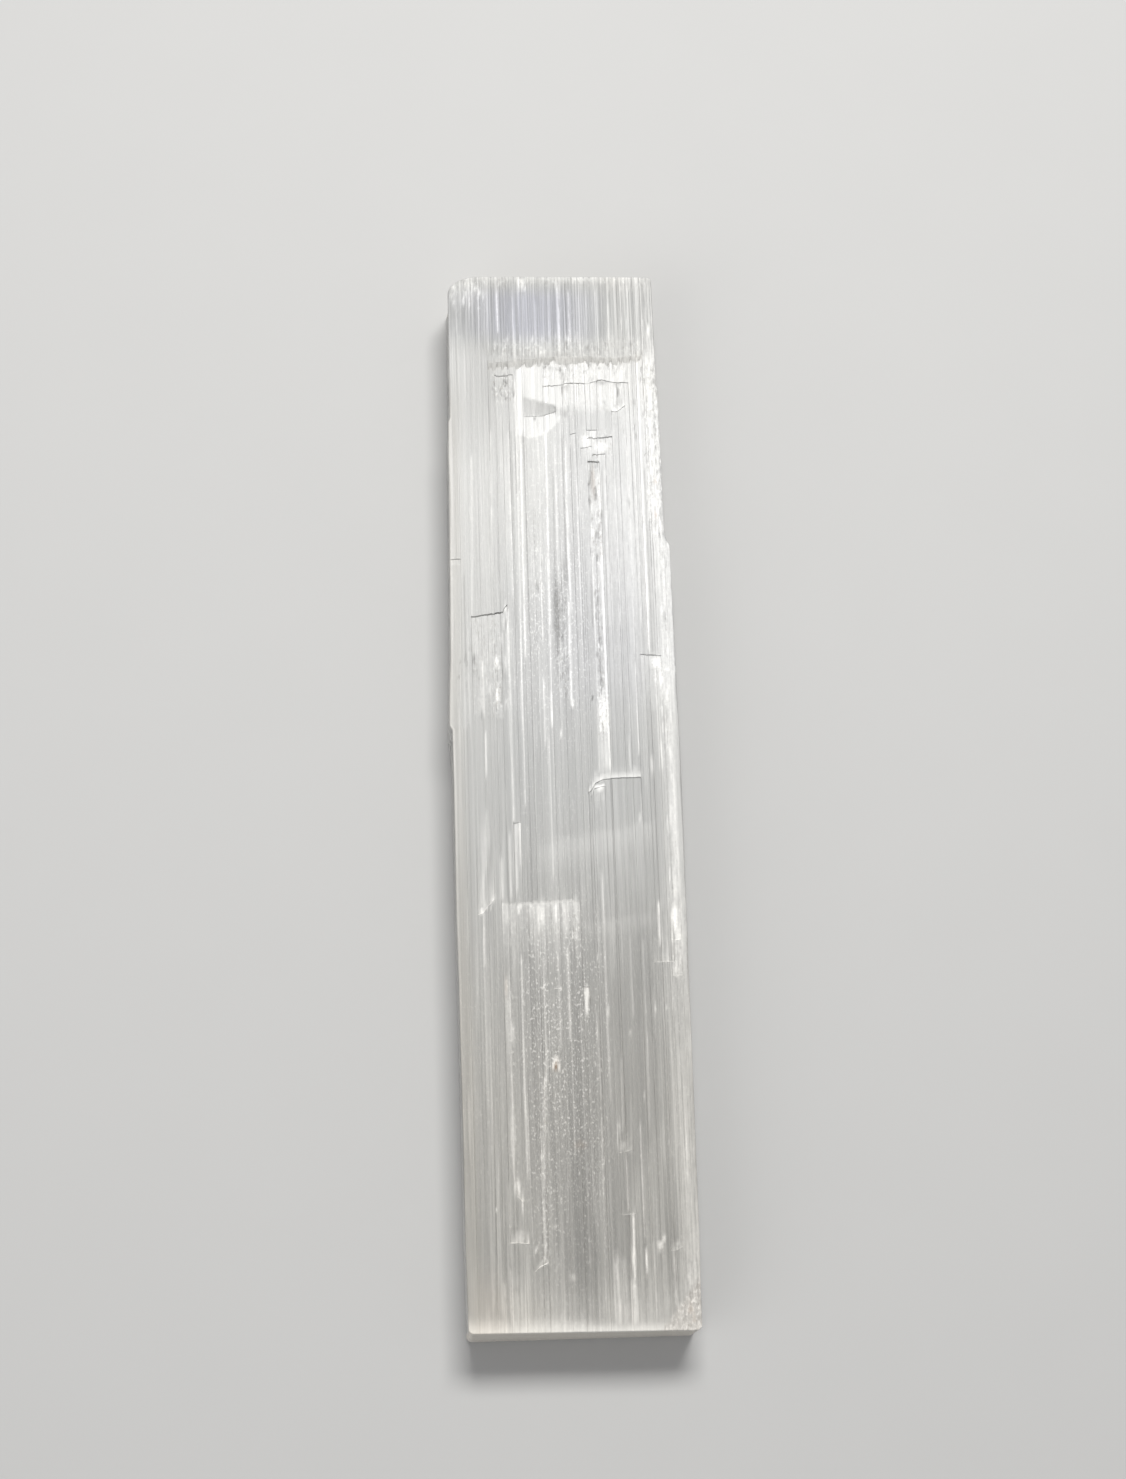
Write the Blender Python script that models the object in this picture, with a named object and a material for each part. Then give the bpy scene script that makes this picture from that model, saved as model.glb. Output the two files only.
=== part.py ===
"""Selenite crystal blade: a flat stick of satin spar, cleaved along its fibres and sawn at both ends.

The blade lies on its underside. Its length runs along +Y, its width along X and its thickness along +Z.
Sizes are in millimetres until the vertices are made. A place on the blade is given as "across", from its left
edge towards its right one, and "along", from its lower end towards its upper one.
"""

import math
import random

import bmesh
import bpy

MM = 0.001

# Driving dimensions
LENGTH = 150.0
WIDTH = 30.0
THICKNESS = 9.0
CHAMFER = 0.32  # worn edge round both flat faces
SEAM = 0.08  # width of the little wall between two bundles of fibres
SHOULDER = 1.15  # middle of the outermost bundles, where a column of vertices holds their tops level
ROW_GAP = 6.5  # longest stretch of fibre between two rows of vertices
SEED = 11

# Seams between the bundles of fibres, across the blade. They run its whole length.
SEAMS = (
    2.3, 3.7, 5.5, 7.4, 8.4, 9.7, 11.4, 13.3, 14.2, 15.1, 16.1, 17.8, 19.4, 21.1, 22.0, 23.1, 24.6, 26.9,
    27.9, 28.9,
)
BUNDLE_DROP = 0.12  # a bundle lies up to this far below the upper face at either end
BUNDLE_TILT = 0.025  # one side of it lies up to this far below or above its middle
UNDER_DROPS = (0.0, 0.08, 0.16)  # levels of the bundles in the underside
UNDER_FLAT = (11.4, 19.4)  # between these seams they are all at the lowest one, so the blade rests on them

# Layers of fibre in the long sides, as shares of the thickness, and how far back each stands on either side
LEVELS = (0.0, 0.22, 0.42, 0.62, 0.8, 1.0)
LEFT_INSETS = (0.16, 0.0, 0.22, 0.08, 0.0, 0.0)
RIGHT_INSETS = (0.0, 0.2, 0.05, 0.24, 0.0, 0.0)
WANDER = (0.09, 0.052)  # the inner layers sway by this much, with this turn in radians per millimetre
LAYER_TURN = 2.1  # how far the sway of one layer is turned from that of the next
SIDE_TURN = 1.3  # and that of one side from the other's

# A flake scar: the seams or edges it lies between, where its broken edge is at each of them, the run of the
# wall there, the run over which it feathers out from that (negative towards the lower end), and its depth.
TOP_SCARS = (
    (5.5, 27.9, 135.8, 137.3, 0.80, -24.0, 0.26),
    (13.3, 24.6, 132.7, 133.5, 0.20, -15.0, 0.12),
    (9.7, 15.1, 128.0, 128.2, 0.20, 3.0, 0.14),
    (17.8, 23.1, 125.2, 125.0, 0.15, -8.0, 0.16),
    (19.4, 21.1, 121.6, 121.6, 0.15, -47.0, 0.28),
    (2.3, 7.4, 97.7, 99.2, 0.20, -14.0, 0.34),
    (24.6, 27.9, 92.0, 91.9, 0.12, -9.0, 0.20),
    (27.9, 30.0, 90.0, 90.0, 0.40, -38.0, 0.24),
    (17.8, 24.6, 73.2, 74.3, 0.15, -15.0, 0.20),
    (7.4, 8.4, 68.0, 68.0, 0.12, -11.0, 0.16),
    (5.5, 16.1, 56.8, 57.4, 0.40, -17.0, 0.12),
    (2.3, 3.7, 54.9, 54.9, 0.15, 14.0, 0.20),
    (24.6, 28.9, 48.6, 48.6, 0.15, 7.0, 0.20),
    (16.1, 17.8, 45.3, 45.3, 0.12, -5.0, 0.20),
    (5.5, 7.4, 17.4, 17.4, 0.15, 4.0, 0.16),
    (5.5, 8.4, 12.1, 12.1, 0.15, 3.5, 0.18),
)
UNDER_SCARS = (
    (17.8, 26.9, 117.5, 116.0, 0.20, -32.0, 0.45),
    (3.7, 9.7, 36.5, 38.0, 0.20, 27.0, 0.38),
    (11.4, 14.2, 104.5, 104.5, 0.15, 22.0, 0.26),
    (19.4, 27.9, 29.6, 31.0, 0.20, -19.0, 0.40),
)
JAG = 0.20  # how far a bundle's broken end stands before or behind its flake's edge
FEATHER = 0.8  # a scar rises to the face along this power of its run, so it is a little dished
ON_WALL = 0.001  # a vertex this share of the run before the scar's start still belongs to the scar
LEAST_GAP = 0.25  # between two broken edges on one bundle

# The long edges seen from above, as (along, across). A step is two points close together.
LEFT_EDGE = (
    (0, -0.15), (12, -0.32), (45, -0.45), (70, -0.6), (81.3, -0.62), (81.9, -1.0), (87, -0.92), (93, -0.66),
    (108, -0.5), (127.2, -0.34), (127.8, -0.1), (150, 0.0),
)
RIGHT_EDGE = (
    (0, 30.0), (15, 30.2), (45, 30.45), (75, 30.7), (100, 30.65), (108.6, 30.62), (109.2, 29.96),
    (132.4, 29.94), (133.0, 29.8), (150, 29.7),
)
SIDE_STEPS = (81.6, 108.9, 127.5, 132.7)  # middles of the steps in those edges
STEP_RUN = 0.6

# Corners seen from above, as (across, along) half axes of the rounding
UPPER_LEFT_ROUND = (4.6, 2.7)
UPPER_RIGHT_ROUND = (0.7, 0.6)
LOWER_ROUND = (0.7, 0.7)
LOWER_END_LEAN = (0.65, 0.30)  # how far the lower sawn end leans back from its foot, at the left and right
UPPER_END_LEAN = 0.2  # how far the upper sawn end leans out over its foot
CORNER_CHIP = (4.6, 6.0, 0.45)  # shallow chip at the lower right corner: across, along, depth
MARGIN_CHIP = (109.0, 136.5, 2.0, 0.28)  # crumbled right edge: from, to, width, depth
MARGIN_FADE = 4.0  # the stretch over which it begins and ends


def between(points, at):
    """Straight-line value at a place, from (place, value) points in rising order."""
    if at <= points[0][0]:
        return points[0][1]
    for (start, low), (end, high) in zip(points, points[1:]):
        if at <= end:
            return low + (high - low) * (at - start) / (end - start)
    return points[-1][1]


def ellipse_setback(distance, half_axes):
    """How far a rounded corner stands back from the end, at a distance from the side."""
    across, along = half_axes
    if distance >= across:
        return 0.0
    share = 1 - max(distance, 0.0) / across
    return along * (1 - math.sqrt(max(0.0, 1 - share * share)))


def lower_end(across, level):
    """Sawn end nearest to along = 0, leaning back towards its top edge."""
    from_left = across - LEFT_EDGE[0][1]
    from_right = RIGHT_EDGE[0][1] - across
    at_left, at_right = LOWER_END_LEAN
    lean = level * (at_left + (at_right - at_left) * from_left / WIDTH)
    return ellipse_setback(from_left, LOWER_ROUND) + ellipse_setback(from_right, LOWER_ROUND) + lean


def upper_end(across, level):
    """Sawn end at the full length, with its well-rounded left corner."""
    from_left = across - LEFT_EDGE[-1][1]
    from_right = RIGHT_EDGE[-1][1] - across
    corner = ellipse_setback(from_left, UPPER_LEFT_ROUND) + ellipse_setback(from_right, UPPER_RIGHT_ROUND)
    return LENGTH - corner - UPPER_END_LEAN * (1 - level)


class Bundles:
    """The fibre bundles between the seams: each one's place, its height on both faces and its own jags."""

    def __init__(self):
        rng = random.Random(SEED)
        bounds = (0.0, *SEAMS, WIDTH)
        self.centres = [(a + b) / 2 for a, b in zip(bounds, bounds[1:])]
        self.low_drop = [rng.uniform(0.0, BUNDLE_DROP) for _ in self.centres]
        self.high_drop = [rng.uniform(0.0, BUNDLE_DROP) for _ in self.centres]
        self.top_tilt = [rng.uniform(-BUNDLE_TILT, BUNDLE_TILT) for _ in self.centres]
        self.under_drop = [rng.choice(UNDER_DROPS) for _ in self.centres]
        for number, centre in enumerate(self.centres):
            if UNDER_FLAT[0] < centre < UNDER_FLAT[1]:
                self.under_drop[number] = 0.0
        self.lines = [self.broken_line(scar, rng) for scar in TOP_SCARS + UNDER_SCARS]

    def top_level(self, number, along, side):
        """How far a bundle lies below the upper face, at its left side (-1) or its right one (1)."""
        low, high = self.low_drop[number], self.high_drop[number]
        return low + (high - low) * along / LENGTH + self.top_tilt[number] * side

    def broken_line(self, scar, rng):
        """Where a flake's edge crosses each bundle. Past the flake it goes on level, unseen."""
        left, right, edge_left, edge_right = scar[:4]
        line = []
        for centre in self.centres:
            share = min(max((centre - left) / (right - left), 0.0), 1.0)
            jag = rng.uniform(-JAG, JAG) if left < centre < right else 0.0
            line.append(edge_left + (edge_right - edge_left) * share + jag)
        return line

    def taken(self, scars, first_line, number, along):
        """Depth of material that the flakes took from a bundle at a place along it."""
        depth = 0.0
        for scar, line in zip(scars, self.lines[first_line:]):
            left, right, _, _, wall, run, full = scar
            if not left < self.centres[number] < right:
                continue
            direction = 1 if run > 0 else -1
            share = ((along - line[number]) * direction - wall / 2) / abs(run)
            if share > -ON_WALL:
                depth += full * max(0.0, 1.0 - share) ** FEATHER
        return depth


def chipped(across, along, right_edge):
    """Material lost from the knocked-off corner and from the crumbled right edge, on the upper face."""
    wide, tall, deep = CORNER_CHIP
    corner = deep * max(0.0, 1 - (right_edge - across) / wide - along / tall)
    start, end, width, depth = MARGIN_CHIP
    inside = min(along - start, end - along) / MARGIN_FADE
    margin = depth * min(max(inside, 0.0), 1.0) * max(0.0, 1 - (right_edge - across) / width)
    return corner + margin


def columns():
    """Columns of vertices across the blade, as (across, bundle). The outermost follow the long edges."""
    found = [(None, 0), (CHAMFER, 0), (SHOULDER, 0)]
    for number, seam in enumerate(SEAMS):
        found += [(seam - SEAM / 2, number), (seam + SEAM / 2, number + 1)]
    last = len(SEAMS)
    return [*found, (-CHAMFER, last), (None, last)]


def place_across(number, count, column, along, level):
    """Across position of a column: the margins follow the long edges, and the seams run straight."""
    left = between(LEFT_EDGE, along) + side_inset(along, level, 0)
    right = between(RIGHT_EDGE, along) - side_inset(along, level, 1)
    if number == 0:
        return left
    if number == 1:
        return left + CHAMFER
    if number == count - 2:
        return right - CHAMFER
    if number == count - 1:
        return right
    return column[0]


def side_inset(along, level, side):
    """Layers of fibre in the long sides, each a little in or out of the next."""
    layer = LEVELS.index(level)
    inset = (LEFT_INSETS, RIGHT_INSETS)[side][layer]
    if layer in (0, len(LEVELS) - 1):
        return inset
    sway, turn = WANDER
    return inset + sway * (1 + math.sin(along * turn + layer * LAYER_TURN + side * SIDE_TURN))


def row_pairs(cols, bundles):
    """Two rows of vertices for each wall across the fibres, at its foot and its head, in order."""
    walls = [scar[4] for scar in TOP_SCARS + UNDER_SCARS]
    found = [(line, wall) for line, wall in zip(bundles.lines, walls)]
    found += [([step] * len(bundles.centres), STEP_RUN) for step in SIDE_STEPS]
    found.sort(key=lambda pair: sum(pair[0]))
    for (low, low_wall), (high, high_wall) in zip(found, found[1:]):
        for number, place in enumerate(low):
            high[number] = max(high[number], place + (low_wall + high_wall) / 2 + LEAST_GAP)
    pairs = []
    for line, wall in found:
        places = [line[bundle] for _, bundle in cols]
        pairs.append([[a - wall / 2 for a in places], [a + wall / 2 for a in places]])
    return pairs


def rows(cols, bundles):
    """Rows of vertices, each a list of along positions, one for each column."""
    count = len(cols)
    pairs = row_pairs(cols, bundles)
    foot = [lower_end(place_across(n, count, c, 0.0, 1.0), 1.0) for n, c in enumerate(cols)]
    head = [upper_end(place_across(n, count, c, LENGTH, 1.0), 1.0) for n, c in enumerate(cols)]
    groups = [[[a + CHAMFER for a in foot]], *pairs, [[a - CHAMFER for a in head], head]]
    found = [foot, groups[0][0]]
    for group in groups[1:]:
        below, above = found[-1], group[0]
        widest = max(b - a for a, b in zip(below, above))
        steps = max(1, math.ceil(widest / ROW_GAP))
        for step in range(1, steps):
            share = step / steps
            found.append([a + (b - a) * share for a, b in zip(below, above)])
        found += group
    return found


def shell(bm, nx, ny, nz, place):
    """Closed skin of a block of nx by ny by nz cells, each of its points put where place() says."""
    points = {}

    def corner(i, j, k):
        if (i, j, k) not in points:
            points[i, j, k] = bm.verts.new([v * MM for v in place(i, j, k)])
        return points[i, j, k]

    def quad(a, b, c, d):
        bm.faces.new([corner(*a), corner(*b), corner(*c), corner(*d)])

    for i in range(nx):
        for j in range(ny):
            quad((i, j, nz), (i + 1, j, nz), (i + 1, j + 1, nz), (i, j + 1, nz))
            quad((i, j, 0), (i, j + 1, 0), (i + 1, j + 1, 0), (i + 1, j, 0))
    for j in range(ny):
        for k in range(nz):
            quad((0, j, k), (0, j, k + 1), (0, j + 1, k + 1), (0, j + 1, k))
            quad((nx, j, k), (nx, j + 1, k), (nx, j + 1, k + 1), (nx, j, k + 1))
    for i in range(nx):
        for k in range(nz):
            quad((i, 0, k), (i + 1, 0, k), (i + 1, 0, k + 1), (i, 0, k + 1))
            quad((i, ny, k), (i, ny, k + 1), (i + 1, ny, k + 1), (i + 1, ny, k))


def blade_points():
    """Size of the block of cells, and the function that places its points."""
    bundles = Bundles()
    cols = columns()
    lines = rows(cols, bundles)
    nx, ny, nz = len(cols) - 1, len(lines) - 1, len(LEVELS) - 1

    def place(i, j, k):
        bundle = cols[i][1]
        along = lines[j][i]
        level = LEVELS[k]
        across = place_across(i, nx + 1, cols[i], along, level)
        if j in (0, ny):
            along += (lower_end(across, level) - lower_end(across, 1.0)) if j == 0 else 0.0
            along += (upper_end(across, level) - upper_end(across, 1.0)) if j == ny else 0.0
        rim = i in (0, nx) or j in (0, ny)
        if 0 < k < nz:
            return across, along, CHAMFER + (THICKNESS - 2 * CHAMFER) * level
        if k == 0:
            if rim:
                return across, along, CHAMFER
            taken = bundles.taken(UNDER_SCARS, len(TOP_SCARS), bundle, along)
            return across, along, bundles.under_drop[bundle] + taken
        taken = bundles.taken(TOP_SCARS, 0, bundle, along)
        taken += chipped(across, along, between(RIGHT_EDGE, along))
        taken += bundles.top_level(bundle, along, -1 if i % 2 else 1)
        if rim:
            taken += CHAMFER
        return across, along, THICKNESS - max(taken, 0.0)

    return nx, ny, nz, place


def crystal_material():
    """Satin spar: pale grey-white, silky, and half see-through."""
    material = bpy.data.materials.new("satin_spar")
    material.use_nodes = True
    shader = material.node_tree.nodes["Principled BSDF"]
    shader.inputs["Base Color"].default_value = (0.71, 0.71, 0.68, 1.0)
    shader.inputs["Roughness"].default_value = 0.32
    shader.inputs["Metallic"].default_value = 0.0
    shader.inputs["IOR"].default_value = 1.52
    shader.inputs["Transmission Weight"].default_value = 0.5
    material.diffuse_color = (0.71, 0.71, 0.68, 1.0)
    return material


def stand_on_origin(mesh):
    """Puts the middle of the blade's footprint over the origin, with the underside at z = 0."""
    xs = [v.co.x for v in mesh.vertices]
    ys = [v.co.y for v in mesh.vertices]
    lowest = min(v.co.z for v in mesh.vertices)
    middle_x = (min(xs) + max(xs)) / 2
    middle_y = (min(ys) + max(ys)) / 2
    for vertex in mesh.vertices:
        vertex.co.x -= middle_x
        vertex.co.y -= middle_y
        vertex.co.z -= lowest


def make_blade():
    bm = bmesh.new()
    shell(bm, *blade_points())
    bmesh.ops.recalc_face_normals(bm, faces=bm.faces)
    mesh = bpy.data.meshes.new("blade")
    bm.to_mesh(mesh)
    bm.free()
    stand_on_origin(mesh)
    blade = bpy.data.objects.new("blade", mesh)
    blade.data.materials.append(crystal_material())
    bpy.context.scene.collection.objects.link(blade)
    return blade


def main():
    for obj in list(bpy.data.objects):
        bpy.data.objects.remove(obj)
    make_blade()


main()
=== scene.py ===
import math

import bpy
import numpy as np
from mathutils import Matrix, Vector


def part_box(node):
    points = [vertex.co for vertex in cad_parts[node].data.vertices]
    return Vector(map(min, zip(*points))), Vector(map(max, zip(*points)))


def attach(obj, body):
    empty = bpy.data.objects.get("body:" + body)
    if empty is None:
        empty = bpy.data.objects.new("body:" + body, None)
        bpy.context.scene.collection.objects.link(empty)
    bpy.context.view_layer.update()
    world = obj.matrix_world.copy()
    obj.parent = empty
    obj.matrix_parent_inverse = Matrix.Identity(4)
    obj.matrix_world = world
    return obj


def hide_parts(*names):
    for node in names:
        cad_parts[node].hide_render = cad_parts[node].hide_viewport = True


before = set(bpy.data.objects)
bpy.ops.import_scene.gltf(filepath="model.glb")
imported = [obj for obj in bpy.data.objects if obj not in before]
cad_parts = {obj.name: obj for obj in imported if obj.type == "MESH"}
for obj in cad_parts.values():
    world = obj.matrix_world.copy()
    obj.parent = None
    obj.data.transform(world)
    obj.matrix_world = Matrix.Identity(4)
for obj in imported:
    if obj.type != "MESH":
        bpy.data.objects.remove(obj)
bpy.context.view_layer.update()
mm = 0.001

# A place on the blade is given in millimetres: across, from its left edge to its right one, and along,
# from its lower end to its upper one. Heights are measured from the face that it rests on.
blade = {
    "length": 150.0,
    "thickness": 9.0,
    "rightEdge": 30.2,  # where the right edge is on average
    "follow": (0.5, 2.3),  # fibres this far in from a long edge go from following it to running straight
    "seam": 0.05,  # width of the little wall between two bundles of fibres
    "fibre": 0.134,  # widest strip of the mesh across the fibres
    "rowGap": 0.95,  # longest strip of the mesh along them
    "fineRows": [  # shorter ones: from, to, longest
        (0, 26, 0.75), (40, 60, 0.62), (71, 76.5, 0.36), (84, 100, 0.5), (118, 139, 0.4), (139, 150, 0.75),
    ],
    "edgeStrips": [0.05, 0.13, 0.24, 0.38, 0.56, 0.78],  # strips that make the worn long edges round
    "endStrips": [0.05, 0.13, 0.24, 0.38, 0.56, 0.8, 1.2],  # and the worn ends
    "stepStrips": 0.3,  # strips on both sides of a step in a long edge
    "straight": (6.5, 10.0),  # rows are straight beyond this far from the lower end and from the upper one
    "lowerWear": 0.3,  # rounding of the edges underneath
    "underLevels": [0.0, 0.06, 0.12],  # heights at which its bundles of fibres lie there
    "restsOn": slice(12, 20),  # bundles that it rests on
    "seed": 7,
}
rng = np.random.default_rng(blade["seed"])

# seams between bundles of fibres, across the blade
seams = [
    1.3, 2.3, 3.7, 4.6, 5.5, 6.4, 7.4, 8.0, 8.4, 9.1, 9.7, 10.4, 11.4, 12.2, 13.3, 14.2, 15.1, 16.1, 17.0,
    17.8, 18.2, 18.5, 19.4, 20.1, 20.9, 21.1, 22.0, 23.1, 24.0, 25.1, 25.7, 26.3, 26.9, 27.9, 28.2, 28.5,
    29.4,
]

# long edges seen from above, as (along, across)
leftEdge = [
    (0, -0.15), (12, -0.32), (25, -0.35), (45, -0.45), (56, -0.58), (70, -0.6), (81.3, -0.62), (81.9, -1.0),
    (84, -0.98), (88, -0.88), (92, -0.68), (108, -0.5), (127.2, -0.34), (127.8, -0.1), (135, -0.08), (150, 0),
]
rightEdge = [
    (0, 30.0), (15, 30.2), (35, 30.35), (55, 30.52), (75, 30.7), (100, 30.65), (108.2, 30.62), (109.4, 29.96),
    (120, 29.93), (132.4, 29.94), (133.0, 29.8), (150, 29.7),
]
edgeSteps = [81.6, 108.8, 127.5, 132.7]  # middles of the steps in them

# corners seen from above: half axes of the rounding, across and along
corners = {
    "upperLeft": (4.6, 2.7),
    "upperRight": (0.7, 0.6),
    "lower": (0.7, 0.7),
    "lowerLean": (0.65, 0.3),  # the lower sawn end leans back from its foot, at its left and at its right
    "upperLean": 0.2,  # the upper one leans out over its foot
}


def scar(line, run, depth, **others):
    # a flake scar between the seams where its broken line starts and ends
    usual = {"span": (line[0][0], line[-1][0]), "wall": 0.12, "jag": 0.05, "teeth": 0.4, "uneven": 0.3}
    usual |= {"milk": 0.0, "edge": -0.6, "glow": [], "runs": None}
    return {"line": line, "run": run, "depth": depth, **usual, **others}


# Flake scars of the upper face. Each has a broken line across the fibres, as (across, along), and feathers
# out from it: how far, negative towards the lower end, and how deep it is at the line.
# span: the seams that it lies between. wall: how far the wall at the line spreads
# jag and teeth: how raggedly the wall's top and its foot broke. uneven: how much the bundles' depths differ
# edge: from -1 for a wall with painted shade to 1 for one of white, splintered fibres.
# milk: how white the scar is
# glow: white on the standing side of the line, as (how white, how far): whitened fibres,
# and partly a painted reflection of the crack that runs in under the line
# runs: how far it feathers out, as (across, how far)
flakes = [
    scar([(5.5, 135.8), (10, 136.3), (13.5, 136.7), (19, 136.9), (22, 136.7), (25, 136.8), (28, 137.3)],
         -24, 0.22, span=(5.5, 27.9), wall=1, jag=0.08, teeth=0.6, milk=0.1, edge=0.34, uneven=0.04),
    scar([(13, 132.6), (16, 133), (17.3, 133.3), (19.5, 133.1), (21.8, 133.7), (23.5, 133.3), (25.7, 133.3)],
         -13, 0.055, span=(13.3, 25.7), wall=0.14, jag=0.1, edge=-0.5, uneven=0.85),
    scar([(6.4, 134.4), (9.1, 134.4)], -5, 0.09, jag=0.15, milk=0.2, edge=-0.5),
    scar([(23.1, 128.8), (24.2, 128.9), (25.1, 129.7)], -4, 0.08,
         jag=0.08, milk=0.2, edge=-0.5, glow=[(0.9, 0.5)]),
    scar([(10.4, 127.95), (13.2, 128.05), (15.1, 128.8)], 3, 0.14,
         jag=0.03, edge=-0.8, runs=[(10.4, 3), (12.5, 2.4), (14.8, 1.1), (15.1, 0.5)]),
    scar([(19.4, 125.8), (20.9, 125.9)], -6, 0.1, jag=0.06, milk=0.6, edge=-0.5),
    scar([(17, 125.2), (17.8, 125.4)], -4, 0.08, jag=0.06, milk=0.5, edge=-0.5),
    scar([(19.4, 124.6), (23.1, 124.9)], -7, 0.13, wall=0.14, jag=0.12, milk=0.35),
    scar([(18.5, 123.2), (20.1, 123.3)], -4, 0.1, jag=0.15, milk=0.3),
    scar([(20.1, 122), (22, 122.2)], -4, 0.11, jag=0.14, milk=0.3),
    scar([(19.4, 121), (21.1, 121.1)], -47, 0.28, wall=0.14, jag=0.12, milk=0.15, edge=-0.8),
    scar([(2.3, 97.7), (4.5, 98), (6.7, 98.4), (7, 99.1), (7.4, 99.5)], -14, 0.28,
         wall=0.14, jag=0.08, milk=0.19),
    scar([(25.7, 92), (28.5, 91.8)], -8, 0.16, wall=0.1, milk=0.2),
    scar([(27.9, 90.4), (30.4, 89.6)], -42, 0.1, wall=0.9, jag=0.3, milk=0.35, edge=0.3),
    scar([(17.8, 72.1), (18.3, 72.7), (18.8, 73.5), (19.8, 74), (21.5, 74.2), (25.1, 74.3)], -15, 0.17,
         wall=0.1, edge=-0.35, uneven=0.03, glow=[(0.65, 0.22), (0.15, 1.3)]),
    scar([(18.2, 71.7), (18.6, 72.8), (20.1, 73.1)], -2.5, 0.1, wall=0.1, jag=0.03, glow=[(0.9, 0.3)]),
    scar([(7.4, 68), (8.4, 68.1)], -11, 0.16, jag=0.04, milk=0.75, edge=0.6),
    scar([(5.5, 56.7), (10, 57), (16.1, 57.1)], -11, 0.09,
         wall=0.4, jag=0.2, milk=0.52, edge=0.4, uneven=0.1),
    scar([(2.3, 55.4), (3, 55.7), (3.4, 56.2), (4.6, 57.6)], 12, 0.2, wall=0.14, milk=0.35, edge=0.6),
    scar([(28.2, 51.5), (29.4, 51.6)], 6, 0.18, milk=0.8, edge=0.5),
    scar([(25.7, 48.5), (28.5, 48.6)], 7, 0.2, wall=0.14, milk=0.35, edge=0.5),
    scar([(28.2, 46.6), (29.4, 46.7)], 4, 0.12, milk=0.6, edge=0.4),
    scar([(16.1, 45.3), (17, 45.3)], -4.5, 0.2, jag=0.02, milk=0.5, edge=0.7),
    scar([(12.2, 45.2), (13.3, 45.2)], 2, 0.06, wall=0.1, jag=0.02, milk=0.2, edge=0.4),
    scar([(0, 106.15), (1.3, 106.3)], -0.8, 0.06, jag=0.04),
    scar([(20.1, 23.1), (22, 23.6)], 3.5, 0.1, jag=0.12, milk=0.3, edge=0.3),
    scar([(6.4, 18.2), (7.4, 17.1)], 3.4, 0.16, wall=0.14, jag=0.06, milk=0.6, edge=0.6),
    scar([(20.1, 15.2), (22, 15.3)], 2, 0.06, wall=0.1, jag=0.03, milk=0.1, edge=0.4),
    scar([(5.5, 12), (8, 11.9)], 2.3, 0.18, jag=0.03, milk=0.5, edge=0.7),
    scar([(26.3, 10.6), (27.1, 10.5), (27.9, 11)], 2.2, 0.08, jag=0.12, milk=0.4, edge=0.15),
    scar([(8.4, 8.1), (9.4, 8.9), (10.4, 9.4)], 1.6, 0.1, milk=0.4, edge=0.7),
]
underFlakes = [
    scar([(17.8, 117.5), (26.9, 116)], -32, 0.45, wall=0.2, jag=0.3),
    scar([(11.4, 104.5), (14.2, 104.5)], 22, 0.26, wall=0.15, jag=0.2),
    scar([(3.7, 36.5), (9.7, 38)], 27, 0.38, wall=0.2, jag=0.3),
    scar([(19.4, 29.6), (27.9, 31)], -19, 0.4, wall=0.2, jag=0.3),
]


def smooth(low, high, value):
    share = np.clip((value - low) / (high - low), 0.0, 1.0)
    return share * share * (3 - 2 * share)


def fall(low, high, value):
    return 1 - smooth(low, high, value)


def bell(middle, width, value):
    return np.exp(-(((value - middle) / width) ** 2))


def along(points, at):
    places, values = zip(*points)
    return np.interp(at, places, values)


def cornerSetback(distance, halfAxes):
    # how far a rounded corner stands back from the end, at a distance from the side
    across, back = halfAxes
    share = 1 - np.clip(distance / across, 0.0, 1.0)
    return back * (1 - np.sqrt(1 - share * share))


def worn(distance, radius):
    # how far a rounded edge lies below the face, at a distance from the side
    short = np.clip(radius - distance, 0.0, radius)
    return radius - np.sqrt(np.maximum(radius * radius - short * short, 0.0))


def tufts(count, *sizes):
    # a random value for each strip, shared by small tufts of neighbours
    # sizes: share of the value, fewest and most strips in a tuft
    found = np.zeros(count)
    for share, fewest, most in sizes:
        values = []
        while len(values) < count:
            values += [rng.uniform(-1, 1)] * int(rng.integers(fewest, most + 1))
        found += share * np.array(values[:count])
    return found


def makeColumns():
    # strips across the blade, and the bundle that each one's points belong to
    half = blade["seam"] / 2
    strips = blade["edgeStrips"]
    bounds = [0.0, *seams, blade["rightEdge"]]
    places, bundles = [], []
    for number, (left, right) in enumerate(zip(bounds, bounds[1:])):
        first = number == 0
        last = number == len(bounds) - 2
        start = 0.0 if first else left + half
        end = right if last else right - half
        count = max(1, round((end - start) / blade["fibre"]))
        inner = [start + (end - start) * n / count for n in range(count + 1)]
        if first:
            inner = [0.0, *strips, *[p for p in inner if p > strips[-1] + half]]
        if last:
            near = [right - strip for strip in reversed(strips)]
            inner = [start, *[p for p in near if p > start + half], right]
        places += inner
        bundles += [number] * len(inner)
    return np.array(places), np.array(bundles)


def acrossAt(reference, place):
    # the outermost fibres follow the long edges, and the rest run straight
    leftShift = along(leftEdge, place) * fall(*blade["follow"], reference)
    rightShare = fall(*blade["follow"], blade["rightEdge"] - reference)
    return reference + leftShift + (along(rightEdge, place) - blade["rightEdge"]) * rightShare


def lowerEnd(across, level):
    fromLeft = across - leftEdge[0][1]
    fromRight = rightEdge[0][1] - across
    atLeft, atRight = corners["lowerLean"]
    lean = level * (atLeft + (atRight - atLeft) * fromLeft / blade["rightEdge"])
    return cornerSetback(fromLeft, corners["lower"]) + cornerSetback(fromRight, corners["lower"]) + lean


def upperEnd(across, level):
    fromLeft = across - leftEdge[-1][1]
    fromRight = rightEdge[-1][1] - across
    back = cornerSetback(fromLeft, corners["upperLeft"]) + cornerSetback(fromRight, corners["upperRight"])
    return blade["length"] - back - corners["upperLean"] * (1 - level)


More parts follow.
